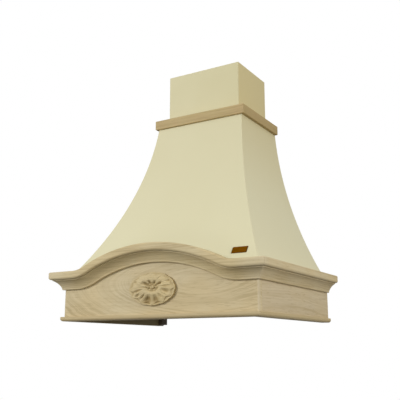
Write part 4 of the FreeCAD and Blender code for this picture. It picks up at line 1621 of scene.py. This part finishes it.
@dataclass(frozen=True)
class Collar:
    """Wooden collar round the neck: three mitred strips and one behind."""

    lines: Lines
    edge: float = 2.2 * MM          # rounding of the long edges
    soft_edge: float = 0.4 * MM

    def plan(self, strip: Strip) -> Grid:
        """Corners of a strip as seen from above.

        Args:
            strip: Which strip.

        Returns:
            One row of X and Y for each corner.
        """
        out, inner = self.lines.collar_half, self.lines.neck_half
        front, neck, wall = self.lines.collar_face, self.lines.neck_face, self.lines.wall
        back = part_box("collar_back")[0].y
        plans = {
            Strip.FRONT: [(-out, front), (out, front), (inner, neck), (-inner, neck)],
            Strip.RIGHT: [(out, front), (out, wall), (inner, wall), (inner, neck)],
            Strip.LEFT: [(-out, front), (-out, wall), (-inner, wall), (-inner, neck)],
            Strip.BACK: [(-inner, back), (inner, back), (inner, wall), (-inner, wall)],
        }
        return np.array(plans[strip])

    def build(self, strip: Strip) -> bpy.types.Object:
        """One strip: its plan carried from the collar's foot to its top, edges drawn in.

        The plan's outer corners move in by the edge rounding at the foot and the top, so the
        long edges are rounded; the mitres stay closed because both strips draw in alike.

        Args:
            strip: Which strip.

        Returns:
            The object.
        """
        plan = self.plan(strip)
        turn = np.linspace(0, np.pi / 2, 6)
        draw_in = self.edge * (1 - np.sin(turn))
        rise = self.edge * (1 - np.cos(turn))
        level = np.concatenate([self.lines.collar_low + rise,
                                (self.lines.collar_high - rise)[::-1]])
        shrink = np.concatenate([draw_in, draw_in[::-1]])[:, None]
        outer = np.abs(plan[:, 0]) > self.lines.neck_half + 1 * MM
        outside_x = np.where(outer, -np.sign(plan[:, 0]), 0.0)
        outside_y = np.where(plan[:, 1] < self.lines.collar_face + 1 * MM, 1.0, 0.0)
        grid = surface(plan[:, 0] + shrink * outside_x, plan[:, 1] + shrink * outside_y,
                       level[:, None])
        return swept_solid("collar_%s_strip" % strip.value[0], grid)

    def make(self) -> None:
        """Build and dress the four strips."""
        # The strips with fibres along Y, the sides, take a darker copy of the front's colours:
        # painted shade.
        bare = {Fibres.ALONG_X: {"pale": (0.520, 0.405, 0.188), "warm": (0.515, 0.375, 0.180),
                                 "dark": (0.375, 0.275, 0.115)},
                Fibres.ALONG_Y: {"pale": (0.465, 0.350, 0.155), "warm": (0.455, 0.325, 0.145),
                                 "dark": (0.340, 0.245, 0.098)}}
        for strip in Strip:
            word, fibres = strip.value
            wood = Timber("collar %s timber" % word, fibres, heart=(0.12, 0.1, -0.15),
                          level_run=LEVEL_RUN, stretch=(12.0, 12.0), spacing=5 * MM,
                          **bare[fibres])
            piece = self.build(strip)
            soften(piece, self.soft_edge)
            settle(piece, wood.material(), COVER, BARE_WOOD, "collar_" + word)


# ---------------------------------------------------------------- pieces inside

@dataclass(frozen=True)
class Inside:
    """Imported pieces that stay: rails, blocks, battens, strips, screws and pads."""

    heart: Point = (0.07, -0.2, -0.6)
    along_x: tuple[str, ...] = ("front_ledger", "rear_rail", "hanging_rail", "neck_front_rail",
                                "rear_rail_dowels")
    along_y: tuple[str, ...] = ("left_insert_rail", "right_insert_rail", "neck_left_rail",
                                "neck_right_rail")
    along_z: tuple[str, ...] = ("left_corner_block", "right_corner_block")
    battens: tuple[str, ...] = ("left_wall_batten", "right_wall_batten")
    plates: tuple[str, ...] = ("left_seam_strip", "right_seam_strip", "left_hanger_plate",
                               "right_hanger_plate", "chimney_bracket")
    pads: tuple[str, ...] = ("chimney_glides",)

    def dress(self, names: tuple[str, ...], finish: Finish) -> None:
        """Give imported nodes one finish.

        Args:
            names: Names of the nodes.
            finish: The finish.
        """
        material = finish.material()
        for name in names:
            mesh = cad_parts[name].data
            mesh.materials.clear()
            mesh.materials.append(material)
            log.info("%s is dressed in %s", name, material.name)

    def make(self) -> None:
        """Dress every piece."""
        for fibres, names in zip(Fibres, (self.along_x, self.along_y, self.along_z)):
            self.dress(names, Timber("inner timber " + fibres.name.lower(), fibres, self.heart,
                                     pale=(0.430, 0.335, 0.165), warm=(0.430, 0.315, 0.155),
                                     dark=(0.330, 0.240, 0.110)))
        # Painted shade: the wall battens are coloured near black for the shade they stand in.
        self.dress(self.battens, Timber("batten timber in painted shade", Fibres.ALONG_Z, self.heart,
                                        pale=(0.085, 0.060, 0.032), warm=(0.080, 0.055, 0.028),
                                        dark=(0.050, 0.035, 0.018), fleck=(0.040, 0.028, 0.014)))
        screws = tuple(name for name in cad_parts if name.endswith("_screws"))
        self.dress(self.plates + screws, ZincPlate())
        self.dress(self.pads, Nylon())


# ---------------------------------------------------------------- studio

@dataclass(frozen=True)
class Lamp:
    """One square soft lamp."""

    name: str
    at: Point
    size: float
    power: float
    colour: Colour = (1.0, 1.0, 1.0)

    def build(self, aim: Point) -> None:
        """Add the lamp.

        Args:
            aim: The point that it faces.
        """
        data = bpy.data.lights.new(self.name, "AREA")
        data.size = self.size
        data.energy = self.power
        data.color = self.colour
        lamp = bpy.data.objects.new(self.name, data)
        way = np.array(aim) - np.array(self.at)
        flat = math.hypot(way[0], way[1])
        lamp.location = self.at
        lamp.rotation_euler = (math.atan2(flat, -way[2]), 0, math.atan2(-way[0], way[1]))
        bpy.context.scene.collection.objects.link(lamp)


@dataclass(frozen=True)
class Studio:
    """Pale floor far below, soft lamps and the camera of the photograph."""

    floor: float = -2.1
    floor_reach: float = 9.0
    floor_lines: int = 61
    eye: Point = (0.9607, -1.8344, -0.6178)
    heading: float = 30.9           # degrees that the camera turns to its left from +Y
    pitch: float = 12.9             # degrees that it looks up
    lens: float = 57.98
    sensor: float = 36.0
    low_fill: float = 0.10          # strength of the light from below
    high_fill: float = 0.52         # and from above
    middle: Point = (0.0, -0.25, -0.2)      # what the lamps face
    lamps: tuple[Lamp, ...] = (
        Lamp("key", (-2.7, -4.0, 1.35), 1.3, 128.0),
        Lamp("side", (2.9, -0.9, 0.15), 1.2, 42.0, (1.0, 0.978, 0.955)),
        Lamp("low fill", (-0.2, -3.6, -1.9), 1.6, 18.5))

    def camera(self) -> None:
        """Set up the camera."""
        data = bpy.data.cameras.new("camera")
        data.lens = self.lens
        data.sensor_width = self.sensor
        camera = bpy.data.objects.new("camera", data)
        camera.location = self.eye
        camera.rotation_euler = (math.radians(90 + self.pitch), 0, math.radians(self.heading))
        bpy.context.scene.collection.objects.link(camera)
        bpy.context.scene.camera = camera

    def surround(self) -> None:
        """World: white to the camera and in glass, and as light brighter from above than below.

        The light's strength goes from low to high with the height of its direction.
        """
        world = bpy.data.worlds.new("surround")
        bpy.context.scene.world = world
        world.use_nodes = True
        g = Graph(world.node_tree)
        rays = g.add("LightPath").outputs
        seen = g.math("MAXIMUM", rays["Is Camera Ray"], rays["Is Transmission Ray"])
        up = g.parts(g.add("TexCoord").outputs["Generated"])[2]
        light = g.span(up, -0.35, 0.45, self.low_fill, self.high_fill)
        background = world.node_tree.nodes["Background"].inputs
        g.feed(background["Color"], (1, 1, 1, 1))
        g.feed(background["Strength"], g.plus(g.times(g.minus(1.0, light), seen), light))

    def ground(self) -> None:
        """Floor: a flat grid of squares."""
        reach = np.linspace(-self.floor_reach, self.floor_reach, self.floor_lines)
        x, y = np.meshgrid(reach, reach, indexing="ij")
        number = np.arange(x.size).reshape(x.shape)
        quads = np.stack([number[:-1, :-1], number[1:, :-1], number[1:, 1:], number[:-1, 1:]],
                         axis=-1)
        floor = build_mesh("floor", surface(x, y, self.floor).reshape(-1, 3),
                           [quads.reshape(-1, 4)])
        floor.data.materials.append(PaleFloor().material())

    def make(self) -> None:
        """Set up everything that isn't the object."""
        self.camera()
        self.surround()
        self.ground()
        for lamp in self.lamps:
            lamp.build(self.middle)


# ---------------------------------------------------------------- assembly

def main() -> None:
    """Build the cover's pieces in order, then the studio."""
    logging.basicConfig(level=logging.INFO, format="%(name)s: %(message)s")
    bpy.context.scene.view_settings.view_transform = "Standard"
    lines, arch = Lines.read(), Arch()
    base = WoodenBase(BaseFrame(lines, arch), Cornice(lines, arch))
    for assembly in (base, Rosette(lines), SheetBody(lines), Badge(lines), Chimney(),
                     Collar(lines), Inside(), Studio()):
        assembly.make()
        log.info("%s is ready", type(assembly).__name__)


if __name__ == "__main__":
    main()
